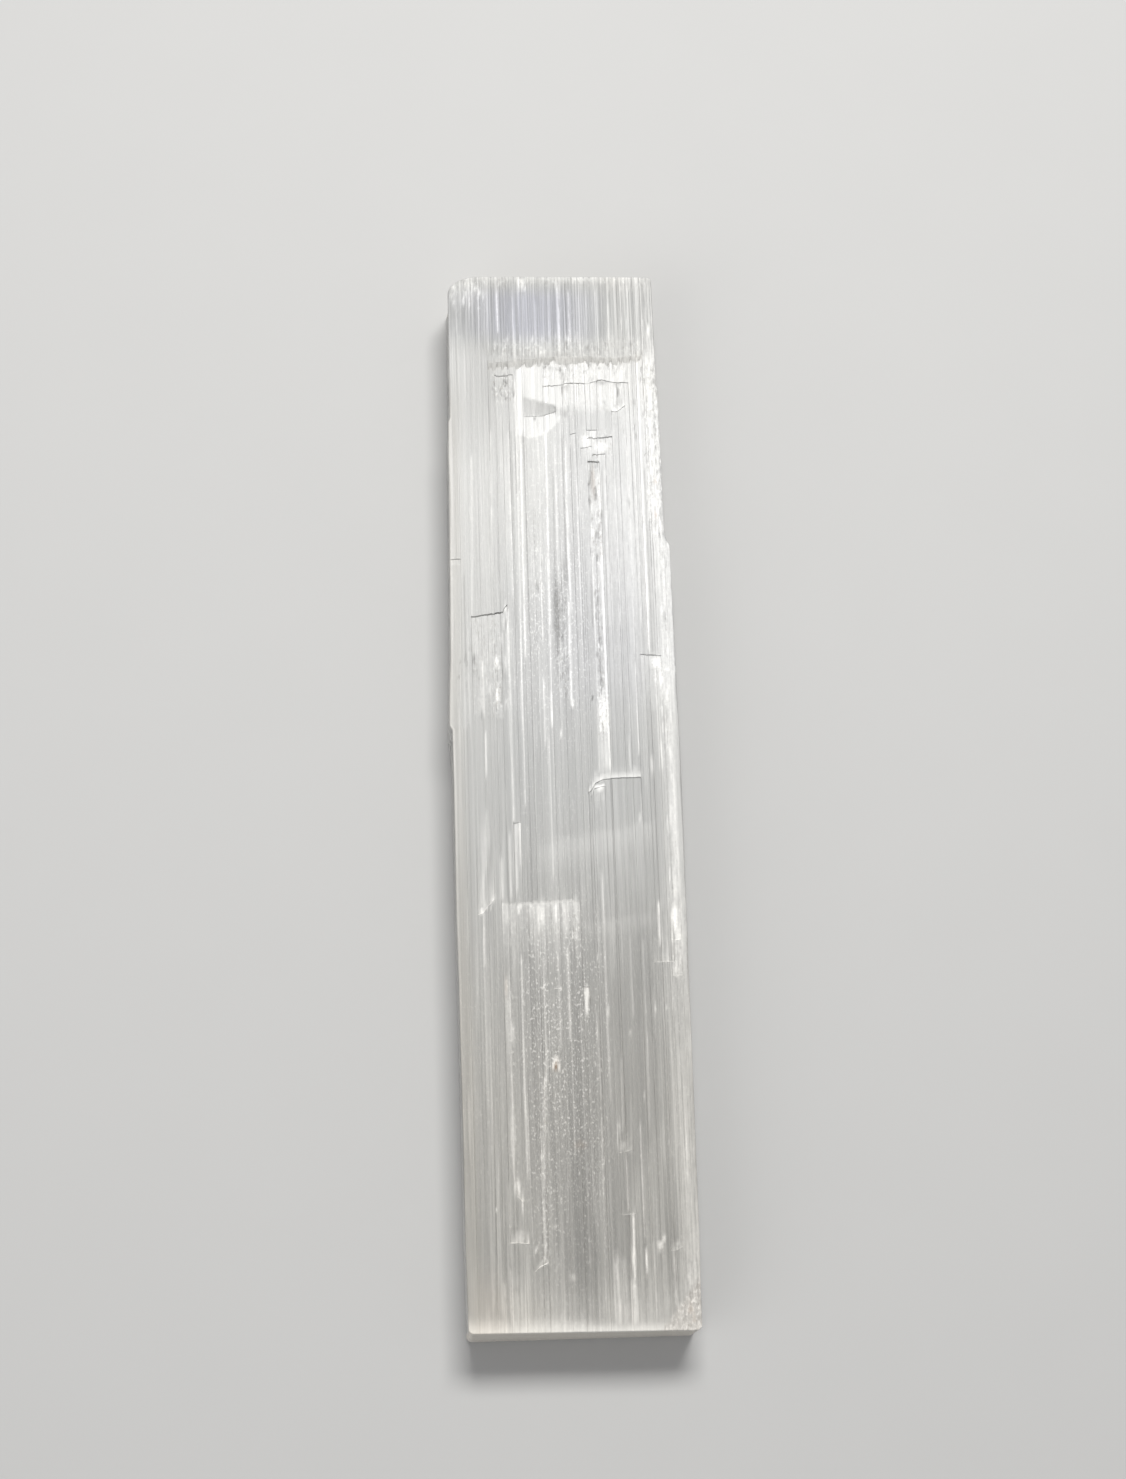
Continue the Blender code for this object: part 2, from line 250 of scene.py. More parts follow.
def drawLines():
    # each flake's broken line at every column, how far its wall spreads, and which columns it crosses
    count = len(reference)
    for flake in flakes + underFlakes:
        left, right = flake["span"]
        flake["on"] = (reference > left) & (reference < right)
        ragged = tufts(count, (0.75, 3, 9), (0.25, 1, 3))
        flake["at"] = along(flake["line"], reference) + flake["jag"] * ragged
        flake["width"] = flake["wall"] * (1 + flake["teeth"] * tufts(count, (0.7, 2, 5), (0.3, 1, 2)))
        flake["middle"] = float(flake["at"][flake["on"]].mean())


def makeRows():
    # strips along the blade, with one at each broken line and at each step of the edges
    length = blade["length"]
    marks = [0.0, *blade["endStrips"], *[length - strip for strip in blade["endStrips"]], length]
    for flake in flakes + underFlakes:
        marks += [flake["middle"] - flake["wall"] / 2, flake["middle"] + flake["wall"] / 2]
    for step in edgeSteps:
        marks += [step - blade["stepStrips"], step, step + blade["stepStrips"]]
    marks.sort()
    rows = [marks[0]]
    for mark in marks[1:]:
        start = rows[-1]
        gaps = [gap for low, high, gap in blade["fineRows"] if low <= (start + mark) / 2 <= high]
        steps = max(1, math.ceil((mark - start) / (gaps[0] if gaps else blade["rowGap"])))
        rows += [start + (mark - start) * n / steps for n in range(1, steps + 1)]
    return np.array(rows)


def bendRows():
    # where each row lies at each column: on the ends, on the broken lines, and straight in between
    length, rim = blade["length"], blade["endStrips"][-1]
    straightFrom, straightTo = blade["straight"][0], length - blade["straight"][1]
    foot = lowerEnd(acrossAt(reference, 0.0), 1.0)
    head = upperEnd(acrossAt(reference, length), 1.0)
    bent = np.empty((len(reference), len(rows)))
    for i in range(len(reference)):
        anchors = [(0.0, foot[i]), (rim, foot[i] + rim), (straightFrom, straightFrom)]
        anchors += [(straightTo, straightTo), (length - rim, head[i] - rim), (length, head[i])]
        for flake in flakes + underFlakes:
            if flake["on"][i]:
                half, wide = flake["wall"] / 2, flake["width"][i]
                low, high = flake["at"][i] + half - wide, flake["at"][i] + half
                if flake["run"] > 0:
                    low, high = flake["at"][i] - half, flake["at"][i] - half + wide
                anchors += [(flake["middle"] - half, low), (flake["middle"] + half, high)]
        anchors.sort()
        before, after = zip(*anchors)
        if np.any(np.diff(after) <= 0):
            print("broken lines cross at", round(float(reference[i]), 2), [round(a, 2) for a in after])
        bent[i] = np.interp(rows, before, after)
    return bent


def flakeDepth(found, whiten):
    # material that the flakes took, and how milky they left the fibres
    depth = np.zeros_like(places)
    milk = np.zeros_like(places)
    count = bundles.max() + 1
    for flake in found:
        direction = 1 if flake["run"] > 0 else -1
        longer = rng.uniform(0.65, 1.15, count)[bundles]
        deeper = 1 - flake["uneven"] * rng.uniform(-0.4, 1, count)[bundles]
        run = along(flake["runs"], reference) if flake["runs"] else abs(flake["run"]) * longer
        foot = flake["at"] + direction * (flake["width"] - flake["wall"] / 2)
        beyond = (places - foot[:, None]) * direction
        share = beyond / run[:, None]
        inside = flake["on"][:, None] & (share > -0.001)
        wall = np.clip(1 + beyond / flake["width"][:, None], 0, 1)
        left = np.where(inside, np.clip(1 - share, 0, 1) ** 0.8, wall)
        depth += np.where(flake["on"][:, None], flake["depth"] * deeper[:, None] * left, 0)
        if whiten:
            streaks = 0.6 + 0.4 * tufts(len(reference), (1, 1, 4))[:, None]
            fading = np.clip(1 - share, 0, 1) ** 1.5
            milk = np.maximum(milk, np.where(inside, flake["milk"] * fading * streaks, 0))
    return depth, milk


print("blade: strips and rows")
reference, bundles = makeColumns()
drawLines()
rows = makeRows()
places = bendRows()
acrosses = acrossAt(reference[:, None], places)
fromLeft = acrosses - along(leftEdge, places)
fromRight = along(rightEdge, places) - acrosses
fromFoot = places - places[:, :1]
fromHead = places[:, -1:] - places
lastColumn, lastRow = len(reference) - 1, len(rows) - 1
print(f"  {len(reference)} columns, {len(rows)} rows")

# How the upper face is worn
wear = {
    "edge": 0.17,  # rounding of the long edges
    "edgeSpread": 0.08,  # how much that varies along them
    "endShare": 0.9,  # rounding of the sawn ends' edges, as a share of it
    "corner": 0.25,  # extra rounding of the upper left corner
    "cornerAcross": 7,  # how far across it reaches
    "cornerAlong": (5, 1),  # and how far below the upper end it starts and is full
    "chipCorner": (5.9, 7.5, 0.42),  # chip at the lower right corner: across, along, depth
    "chipMargin": (109.0, 136.5, 2.0, 0.26),  # crumbled right edge: from, to, width, depth
    "chipFade": 4,  # how far it fades at both ends
    "chipRough": 0.35,
    "bundleDrop": 0.09,  # bundles lie up to this far below the face
    "bundleTilt": 0.02,
    "fibreRelief": 0.010,
    "lineWhiteness": 1.12,
    "lineSpread": 1.05,  # how softly a white line fades beside its fibre
    "ridge": (1.15, 0.5),  # how far in the right edge's white band is strongest, and how wide that is
    "white": {"chip": 0.36, "margin": 0.6, "foot": 0.62},  # whiteness of the chip, the crumbled edge, the foot
    "footReach": 2.8,  # how far up the blade the white foot fades
    "shade": {"chip": 0.2, "freshZone": 0.05, "clearTail": 0.16, "clearWedge": 0.26},
    "hazeEverywhere": 0.55,
    "streakyAtLeft": 0.45,  # streaks at the left edge, as a share of those further in
    "chipCrumbs": 0.75,
    "chipStain": 0.05,
    "warmLine": 0.3,  # how warm the largest scar's broken line is
}

# Fibres that show as a white line, or as a dark one where the whiteness is negative. Straight ones:
# half width, across, upper end, lower end, whiteness at the upper end and at the lower one
straightLines = [
    # the rubbed upper end
    (0.1, 1.1, 149, 141, 0.14, 0.14), (0.08, 4.5, 146, 137, 0.14, 0.14), (0.1, 5.6, 148, 138, 0.17, 0.21),
    (0.1, 6.4, 149, 138.5, -0.16, -0.14), (0.12, 7.1, 148, 141, 0.63, 0.59),
    (0.12, 7.6, 149, 139, -0.22, -0.16), (0.1, 8.9, 149, 139, -0.16, -0.14),
    (0.1, 9.3, 148, 139.5, 0.38, 0.38), (0.07, 10.9, 147, 140, 0.21, 0.17),
    (0.12, 11.6, 149, 139, -0.19, -0.16), (0.07, 12.6, 146, 138, 0.28, 0.25),
    (0.09, 14.5, 148, 139, 0.35, 0.35), (0.12, 15.3, 149, 138, -0.27, -0.27),
    (0.14, 16, 149, 138, 0.56, 0.52), (0.1, 16.5, 149, 138, -0.22, -0.22),
    (0.1, 17, 149, 138, -0.19, -0.16), (0.12, 17.5, 148, 137.5, 0.45, 0.42),
    (0.12, 18.3, 149, 138, -0.24, -0.22), (0.08, 18.9, 147, 139, 0.21, 0.21),
    (0.1, 19.5, 149, 139, -0.16, -0.16), (0.08, 20, 148, 140, 0.21, 0.21),
    (0.1, 21.4, 148, 139, 0.28, 0.25), (0.12, 22.2, 149, 139, -0.22, -0.19),
    (0.12, 24.5, 149, 139, -0.16, -0.16), (0.09, 25.1, 144, 139, 0.28, 0.28),
    (0.1, 25.5, 149, 139, -0.14, -0.14), (0.1, 26, 149, 139, 0.31, 0.28),
    (0.08, 28.2, 147, 140, 0.28, 0.28),
    # from the large scar down to the middle
    (0.1, 8.2, 126, 100, 0.6, 0.4), (0.09, 8.6, 126, 96, -0.35, -0.25), (0.09, 10.3, 126, 96, -0.3, -0.25),
    (0.08, 11.2, 126, 96, 0.25, 0.3), (0.11, 12.1, 89, 79, 0.6, 0.5), (0.09, 12.6, 80, 60, 0.3, 0.4),
    (0.14, 13.1, 87, 81.3, 0.8, 0.9), (0.08, 13.1, 81, 70, 0.25, 0.2), (0.09, 19.2, 104, 96, -0.35, -0.3),
    (0.1, 21.35, 120, 75, -0.35, -0.35), (0.08, 23.65, 80, 75, 0.5, 0.6), (0.09, 26.1, 126, 96, 0.35, 0.4),
    (0.1, 27.5, 120, 92, -0.35, -0.3), (0.1, 27.8, 90, 75, 0.5, 0.4), (0.16, 29.4, 112, 96, 0.5, 0.4),
    # the lower half
    (0.1, 1.4, 104, 20, -0.3, -0.25), (0.22, 5.6, 63.5, 57, 0.35, 0.4), (0.18, 6.2, 36, 20, 0.25, 0.35),
    (0.16, 5.5, 20, 9, 0.2, 0.2), (0.1, 12.9, 50, 37, 0.4, 0.4), (0.14, 14.2, 51, 38, 0.6, 0.5),
    (0.1, 14.3, 38, 22, 0.3, 0.2), (0.1, 15.7, 57, 48, 0.3, 0.2), (0.14, 18.6, 60, 28, -0.25, -0.2),
    (0.14, 19.75, 60, 36, -0.25, -0.2), (0.1, 20.2, 54, 46, 0.25, 0.2), (0.1, 21, 23, 15.5, 0.5, 0.6),
    (0.1, 22.7, 52, 41, 0.2, 0.35), (0.09, 23, 27, 12, 0.6, 0.35), (0.12, 23.1, 11, 7.5, 0.7, 0.6),
    (0.09, 25.5, 45, 38, 0.25, 0.25), (0.09, 29, 28, 18.4, 0.45, 0.4),
    # the small scar in the middle
    (0.25, 9, 57, 48, -0.4, -0.3), (0.12, 12.15, 57, 49, -0.45, -0.3), (0.1, 13.4, 57, 51, -0.45, -0.3),
    (0.16, 7.1, 57, 50, -0.35, -0.25), (0.14, 12.8, 57, 54, 0.9, 0.6), (0.15, 7.65, 68, 58, 0.5, 0.4),
    (0.12, 8.2, 68, 62, 0.7, 0.4),
    # the lower end
    (0.3, 6.3, 8, 1, 0.15, 0.25), (0.25, 4.6, 7, 1, 0.25, 0.15), (0.12, 10.1, 12, 1, 0.2, 0.15),
    (0.1, 11.9, 12, 1, 0.15, 0.2), (0.2, 11.8, 3, 1, 0.3, 0.5), (0.3, 20.1, 10, 1, 0.3, 0.3),
    (0.14, 20.75, 12, 4, -0.3, -0.3), (0.35, 21.4, 7, 1, 0.45, 0.4), (0.15, 22.1, 12, 4, -0.3, -0.3),
    (0.12, 24.1, 12, 2, 0.25, 0.2), (0.2, 28.6, 12, 5, 0.35, 0.55),
]

# Others: half width, then (along, across, whiteness) from the line's upper end to its lower one
bentLines = [
    # the rubbed upper end
    (0.09, (146, 23.2, 0.31), (138.5, 23.1, 0.31)),
    # from the large scar down to the middle
    (0.14, (122, 2.8, 0.35), (109, 2.7, 0.25), (96, 2.3, 0.2)), (0.12, (96, 1.8, 0.25), (82, 1.6, 0.2)),
    (0.12, (92, 3.65, 0.35), (83, 3.75, 0.35)), (0.12, (81, 3.9, 0.6), (74.5, 3.85, 0.6)),
    (0.09, (126, 5.6, 0.4), (104, 5.4, 0.2)), (0.13, (99, 7.4, 0.85), (80, 7.4, 0.55), (68, 7.45, 0.6)),
    (0.1, (134, 9.4, 0.5), (112, 9.3, 0.45), (100, 9.2, 0.3), (92, 9.1, 0.65),
     (78, 9.1, 0.45), (70, 9.1, 0.45)),
    (0.12, (126, 9.9, 0.75), (104, 9.75, 0.85), (91.5, 9.7, 0.9)),
    (0.1, (126, 12.4, 0.45), (118, 12.4, 0.25), (104, 12.25, 0.45), (94, 12.2, 0.5)),
    (0.15, (126, 13.5, 0.8), (110, 13.35, 0.8), (96, 13.25, 0.65), (93, 13.2, 0.5)),
    (0.1, (93, 13.2, 0.6), (87, 13.15, 0.5)),
    (0.12, (120, 14.4, -0.12), (108, 14.3, -0.2), (96, 14.2, -0.3)),
    (0.09, (124, 14.75, 0.4), (92, 14.65, 0.35)), (0.1, (125, 15.85, -0.3), (104, 15.8, -0.35)),
    (0.13, (124, 16.3, 0.6), (116, 16.2, 0.95), (104, 16.2, 0.95), (98, 16.3, 0.4)),
    (0.12, (100, 16, 0.7), (92, 15.9, 1), (84.3, 15.9, 1.1)),
    (0.09, (124, 17.7, 0.3), (106, 17.7, 0.5), (88, 17.7, 0.2)),
    (0.11, (112, 19.6, 0.6), (88, 19.5, 0.45), (75, 19.4, 0.4)),
    (0.14, (120, 20.8, 0.5), (104, 20.9, 0.9), (88, 20.85, 1.1), (74.8, 20.9, 0.9)),
    (0.1, (121, 21.8, 0.4), (96, 21.6, 0.35)),
    (0.09, (126, 23.2, 0.3), (116, 23.2, 0.45), (96, 23.1, 0.35)),
    (0.1, (124, 25.1, 0.45), (104, 25.1, 0.5), (92, 25, 0.25)),
    (0.1, (91, 25, 0.5), (77.5, 24.95, 0.65)),
    (0.14, (137, 27.1, 0.7), (98, 27.05, 0.9), (92, 27, 0.5)),
    (0.16, (90, 29.4, 0.45), (70, 29.4, 0.55), (60, 29.3, 0.35)),
    # the lower half
    (0.2, (70, 3.7, 0.2), (60, 3.5, 0.2)), (0.13, (61, 3.1, 0.45), (48, 3, 0.4)),
    (0.09, (48, 3, 0.25), (4, 3.2, 0.12)), (0.25, (47, 5.9, 0.25), (36, 6.1, 0.25)),
    (0.15, (67, 6.85, 0.4), (57, 6.8, 0.4)), (0.1, (60, 7.2, -0.3), (36, 7.3, -0.25)),
    (0.1, (50, 7.95, 0.45), (36, 7.9, 0.6), (20, 8, 0.35)),
    (0.12, (50, 10.9, 0.3), (36, 10.9, 0.45), (32, 10.8, 0.4)),
    (0.22, (36, 11, 0.35), (32, 10.6, 0.42), (26, 10.3, 0.4), (18, 10, 0.38)),
    (0.16, (18, 10, 0.42), (9.8, 10.05, 0.55)), (0.12, (50, 13.6, -0.25), (36, 13.8, -0.25)),
    (0.08, (44, 15.7, 0.4), (28, 15.7, 0.35), (8, 15.8, 0.2)), (0.08, (42, 17.8, 0.3), (30, 18, 0.3)),
    (0.09, (28, 17.9, 0.5), (15, 17.8, 0.35), (4, 17.7, 0.2)), (0.12, (20, 17.4, -0.2), (4, 17.3, -0.2)),
    (0.12, (61, 19.2, 0.5), (48, 19.2, 0.45), (30, 19.2, 0.3)), (0.13, (36, 20.8, 0.25), (26, 20.7, 0.3)),
    (0.1, (27.3, 20, 0.45), (23.8, 19.9, 0.5)), (0.14, (15.5, 21.6, 0.7), (7, 21.5, 0.9)),
    (0.1, (52, 24.4, 0.3), (37, 24.4, 0.5), (26, 24.3, 0.15)), (0.13, (57, 26.75, 0.7), (50.5, 26.7, 0.6)),
    (0.09, (40, 28, 0.25), (20, 27.8, 0.3)),
    # the small scar in the middle
    (0.1, (57, 15.05, -0.35), (50, 15, -0.3)), (0.16, (57, 10.35, 0.8), (52.5, 10.4, 0.7)),
    (0.2, (57, 14, 0.8), (52, 14.1, 0.6)),
    # the lower end
    (0.25, (9, 5.4, 0.3), (1, 5.6, 0.4)), (0.42, (10, 19.2, 0.48), (1, 19.3, 0.4)),
    (0.2, (11, 26.7, 0.25), (1, 26.8, 0.3)),
]

# Spots: across, along, half widths across and along, height (negative for a pit), how white, how dim
spots = [
    (10.7, 149.4, 0.6, 0.4, -0.06, 0.6, 0), (10.8, 148.6, 0.3, 0.6, -0.06, 0.6, 0),
    (29, 141.5, 0.22, 1.1, 0, 0.9, 0), (17.3, 139.8, 0.12, 0.5, 0.03, 0.7, 0),
    (16.9, 139.6, 0.1, 0.6, -0.05, 0, 0.6), (6.7, 131.5, 0.28, 0.3, 0.06, 0.6, 0.2),
    (7.9, 133.3, 0.2, 0.5, -0.08, 0, 0.45), (9.1, 132.3, 0.15, 0.7, 0.05, 0.3, 0.3),
    (24.2, 131.8, 0.12, 0.8, -0.05, 0, 0.6), (20.8, 131, 0.05, 2, -0.02, 0, 0.4),
    (15.95, 135.3, 0.13, 0.5, -0.03, 0, 0.45), (16.1, 132.2, 0.13, 0.7, -0.02, 0, 0.4),
    (16.5, 134.2, 0.1, 0.5, -0.02, 0, 0.3), (12, 127.6, 0.09, 0.35, -0.03, 0, 0.5),
    (2.4, 112.4, 0.12, 0.15, -0.06, 0, 0.8), (2.5, 113, 0.2, 0.5, 0.03, 0.8, 0),
    (5.5, 113.2, 0.12, 0.7, 0, 0.8, 0), (19.8, 110, 0.3, 0.8, 0.05, 0.9, 0),
    (11.7, 101.8, 0.16, 0.15, -0.04, 0, 0.4), (11.4, 102.6, 0.12, 0.3, 0.04, 0.4, 0),
    (25, 114.6, 0.15, 0.12, -0.04, 0, 0.6), (14.3, 98.5, 0.55, 5.5, -0.03, 0, 0.6),
    (15.6, 104, 0.4, 2.2, -0.02, 0, 0.3), (7.1, 98.9, 0.3, 0.45, 0.05, 0.9, 0),
    (1.4, 91.5, 0.1, 0.9, -0.04, 0, 0.4), (28, 90.7, 0.8, 0.9, 0.03, 0.95, 0),
    (28.5, 88.6, 0.25, 1.6, 0.02, 0.9, 0), (5.6, 91, 0.25, 0.9, 0.02, 0.9, 0),
    (5.6, 86.3, 0.22, 1.4, 0.02, 0.9, 0), (3.7, 90, 0.15, 1.2, 0, 0.7, 0),
    (16, 84.9, 0.25, 0.7, 0.03, 1, 0), (14.25, 80.7, 0.15, 0.6, 0, 0.8, 0),
    (26.7, 76, 0.25, 1.2, 0, 0.5, 0), (24.2, 74.8, 0.6, 0.4, 0.02, 0.8, 0),
    (18.8, 85.6, 0.15, 0.15, -0.05, 0, 0.8), (20.3, 83.5, 0.75, 3.2, 0.03, 0.85, 0),
    (20.3, 78, 0.6, 3.4, 0, 0.5, 0), (9.5, 74, 0.15, 0.2, 0, 0.7, 0), (24.7, 68.5, 0.15, 0.6, 0, 0.5, 0),
    (19.3, 66.6, 0.2, 0.12, -0.03, 0, 0.5), (3.5, 64, 0.4, 4, 0, 0.35, 0),
    (10.9, 55.3, 0.45, 1.8, 0, 0.75, 0), (12.8, 56, 0.15, 1, 0, 0.7, 0), (14, 55, 0.3, 2.2, 0, 0.6, 0),
    (7.8, 56.2, 0.2, 0.8, 0, 0.9, 0), (28.9, 54.5, 0.5, 2.4, 0.02, 0.95, 0),
    (29.1, 58.8, 0.25, 2.2, 0, 0.7, 0), (29, 68.5, 0.28, 2.4, 0, 0.6, 0),
    (29.3, 77.5, 0.25, 2.6, 0, 0.7, 0), (29.2, 85.5, 0.25, 2.2, 0, 0.7, 0),
    (28.9, 81.5, 0.2, 1.8, 0, 0.6, 0), (29.4, 62.5, 0.2, 1.6, 0, 0.6, 0), (28.9, 48.8, 0.3, 1.6, 0, 0.4, 0),
    (16.55, 44.5, 0.36, 0.9, 0, 1.5, 0), (16.5, 43, 0.19, 1.5, 0, 1.3, 0),
    (19.3, 42, 0.2, 0.8, 0, 0.9, 0), (17.8, 39, 0.1, 1, 0, 0.6, 0), (24.4, 42, 0.12, 1, 0, 0.6, 0),
    (25.7, 42.3, 0.12, 0.7, 0, 0.6, 0), (27.2, 42.3, 0.12, 0.5, 0, 0.6, 0),
    (22.2, 38.9, 0.2, 0.4, 0, 0.5, 0), (23.7, 30.7, 0.12, 0.4, 0, 0.8, 0),
    (18.2, 49.3, 0.1, 0.4, 0, 0.5, 0), (6.2, 43, 0.25, 3.5, 0, 0.3, 0), (6.4, 39.3, 0.35, 1.6, 0, 0.4, 0),
    (6.2, 26, 0.35, 4, 0, 0.4, 0), (6.6, 19, 0.45, 1.3, 0.03, 0.7, 0), (7.2, 16.8, 0.12, 1.4, 0, 0.6, 0),
    (14.3, 24.9, 0.15, 0.15, 0.03, 1, 0), (16.7, 23.9, 0.15, 0.15, 0.03, 0.8, 0),
    (15.8, 17.8, 0.12, 0.14, 0.03, 0.9, 0), (3.7, 16.2, 0.15, 0.2, 0.03, 0.8, 0),
    (10, 22.8, 0.3, 0.4, 0.03, 0.7, 0), (8.8, 11, 0.3, 0.3, 0.03, 0.6, 0),
    (11.4, 13.8, 0.4, 0.15, 0.02, 0.6, 0), (13.4, 7.4, 0.5, 0.2, 0.02, 0.28, 0),
    (9.9, 9.6, 0.4, 0.3, 0.02, 0.8, 0), (21.5, 9.5, 0.26, 1.8, 0.02, 1, 0),
    (19.2, 8, 0.35, 2.2, 0, 0.65, 0), (21.4, 4, 0.3, 3, 0, 0.4, 0), (25, 11.1, 0.4, 0.5, 0.04, 0.6, 0),
    (25.5, 11.9, 0.25, 0.35, 0.03, 0.5, 0), (28.7, 9, 0.15, 3, 0, 0.5, 0),
    (20.9, 23.9, 0.9, 0.5, 0, 0.45, 0), (12.15, 35.5, 0.35, 0.25, 0.03, 1.1, 0),
    (11.75, 34.9, 0.18, 0.4, 0.03, 1, 0), (12.55, 34.8, 0.18, 0.4, 0.03, 1, 0),
    (12.15, 34.9, 0.2, 0.22, -0.16, 0, 0.5), (19.2, 124.1, 0.7, 1.1, 0.03, 0.8, 0),
    (21.5, 123.4, 1.3, 0.9, 0.03, 0.7, 0), (19.4, 73.9, 0.9, 0.2, 0.02, 0.6, 0),
    (18.5, 72.9, 0.3, 0.3, 0.02, 0.55, 0), (2.85, 55.9, 0.3, 0.45, 0.03, 0.9, 0),
    (3.7, 56.3, 0.5, 0.12, 0.02, 0.8, 0), (4.4, 57.5, 0.3, 0.4, 0, 0.6, 0),
    (20.95, 117, 0.3, 5.5, 0, 0.5, 0), (19.9, 118.5, 0.35, 2.5, -0.04, 0, 0.3),
    (8.1, 56.5, 0.15, 0.5, 0, 0.9, 0), (15.5, 56, 0.4, 1.5, 0, 0.45, 0), (6.2, 55.5, 0.4, 1.5, 0, 0.4, 0),
    (3.2, 63, 0.5, 5, 0, 0.25, 0), (19.8, 74.3, 1.1, 0.3, 0.02, 0.95, 0),
    (24.3, 74.75, 0.75, 0.35, 0.02, 1, 0), (19.2, 73, 0.7, 0.22, 0.02, 1, 0),
    (21.8, 133.3, 1, 0.25, -0.01, 0, 0.4), (16.6, 132.6, 0.6, 0.25, -0.01, 0, 0.4),
    (24.1, 133, 0.7, 0.3, 0, 0, 0.35), (6.9, 12.9, 0.8, 0.8, 0, 0.35, 0),
    (27.4, 11.1, 0.45, 0.4, 0.02, 0.5, 0), (20.2, 26.3, 0.25, 1, 0, 0.4, 0),
    (28.2, 143, 0.12, 1.2, 0, 0.6, 0), (25.9, 142.4, 0.1, 0.9, 0, 0.6, 0),
    (22.6, 138.4, 1.1, 0.12, 0.03, 0.6, 0),
]

# Crumbs, pits and specks strewn over a zone: number, limits across and along, limits of the two half widths
# and of the height, how white and how dim at most
strewn = [
    (110, (27.7, 29.9), (109.5, 136), (0.07, 0.2), (0.12, 0.6), (-0.08, 0.04), 0.6, 0.12),
    (70, (28.1, 29.6), (46, 92), (0.06, 0.18), (0.4, 1.8), (-0.04, 0.03), 0.7, 0.08),
    (24, (29, 29.9), (90, 108), (0.06, 0.16), (0.3, 1.2), (-0.05, 0.03), 0.7, 0.3),
    (60, (19.4, 21.1), (106, 121.5), (0.08, 0.22), (0.12, 0.6), (-0.08, 0.06), 0.6, 0.7),
    (26, (19.5, 21), (80, 87), (0.08, 0.2), (0.15, 0.5), (-0.05, 0.06), 0.9, 0.1),
    (16, (6.1, 9.4), (130.8, 134.3), (0.08, 0.2), (0.12, 0.4), (-0.07, 0.06), 0.5, 0.6),
    (90, (6, 28), (137.6, 140.5), (0.08, 0.25), (0.15, 0.6), (-0.04, 0.04), 0.5, 0.35),
    (40, (0.3, 5.4), (145.4, 149.7), (0.08, 0.3), (0.15, 0.7), (-0.04, 0.03), 0.8, 0.1),
    (40, (5, 29.4), (148, 149.8), (0.06, 0.2), (0.15, 0.6), (-0.03, 0.02), 0.6, 0.1),
    (34, (2.5, 7.3), (83, 97.4), (0.05, 0.15), (0.4, 1.8), (-0.05, 0.04), 0.7, 0.3),
    (34, (26.6, 29.6), (0.8, 4.2), (0.1, 0.25), (0.15, 0.4), (-0.05, 0.03), 0.5, 0.2),
    (12, (14.6, 15.8), (51.6, 55), (0.07, 0.15), (0.15, 0.5), (-0.03, 0.04), 0.8, 0.1),
    (70, (13.5, 25), (133.5, 136.2), (0.1, 0.3), (0.1, 0.35), (-0.03, 0.03), 0.3, 0.35),
    (26, (16.5, 24), (128.8, 132), (0.1, 0.35), (0.08, 0.25), (-0.02, 0.02), 0.2, 0.25),
    (46, (19.7, 20.6), (87, 104), (0.08, 0.2), (0.15, 0.5), (-0.05, 0.04), 0.5, 0.5),
    (70, (13.8, 15.6), (86, 105), (0.06, 0.16), (0.2, 0.8), (-0.04, 0.03), 0.4, 0.5),
    (50, (10.6, 12.6), (92, 113), (0.05, 0.12), (0.12, 0.5), (-0.03, 0.02), 0.6, 0.35),
    (16, (0.3, 3.2), (86, 94), (0.06, 0.12), (0.15, 0.6), (-0.04, 0.02), 0.2, 0.5),
    (30, (23, 27.8), (124, 136), (0.06, 0.14), (0.15, 0.6), (-0.04, 0.03), 0.7, 0.25),
]

# Patches of crumbled fibres: limits across, limits along, how crumbly
crumbled = [
    (27.6, 30.5, 109.5, 136.5, 0.5), (28.2, 29.8, 46, 92, 0.25), (28.8, 30.5, 90, 109, 0.35),
    (19.4, 21.2, 104, 121.5, 0.65), (18.4, 23.2, 121.5, 126, 0.6), (19.6, 20.7, 87, 104, 0.7),
    (19.4, 21.2, 80, 87.5, 0.9), (27.2, 28.9, 88, 92, 0.6), (13.8, 15.7, 85, 105, 0.6),
    (2.4, 4.8, 83, 97.5, 0.3), (4.8, 6.4, 83, 97.5, 0.6), (6, 9.4, 130.5, 134.5, 0.8),
    (6, 28, 137.2, 140, 0.6), (15, 25.5, 133.3, 136.6, 0.5), (16, 25, 128.5, 133, 0.45),
    (0.3, 5.5, 144, 149.8, 0.3), (5, 29.5, 148.6, 150, 0.5), (23, 28, 124, 136, 0.3),
    (10.5, 12.7, 92, 113, 0.3), (14.5, 16, 51, 55.5, 0.5), (5.5, 16, 49, 57, 0.25), (9, 18, 18, 46, 0.3),
    (5.6, 7.2, 21, 47, 0.4), (9.6, 11, 9, 36, 0.5), (1, 29, 2, 50, 0.1), (1, 27, 84, 125, 0.12),
]

# Rust-coloured stains: across, along, half widths, how strong
stains = [
    (2.6, 3, 2.4, 6, 0.06), (20.1, 118, 0.35, 2.5, 0.15), (12.15, 35, 0.5, 0.5, 0.3),
    (12.15, 34.9, 0.2, 0.22, 1), (15, 24.3, 0.8, 0.3, 0.12), (5.8, 45.5, 0.25, 1.5, 0.12),
    (28.6, 3, 0.5, 0.6, 0.2), (29, 1.8, 0.4, 0.4, 0.25), (28.9, 113, 0.3, 0.25, 0.3),
    (29, 118, 0.25, 0.5, 0.2),
]

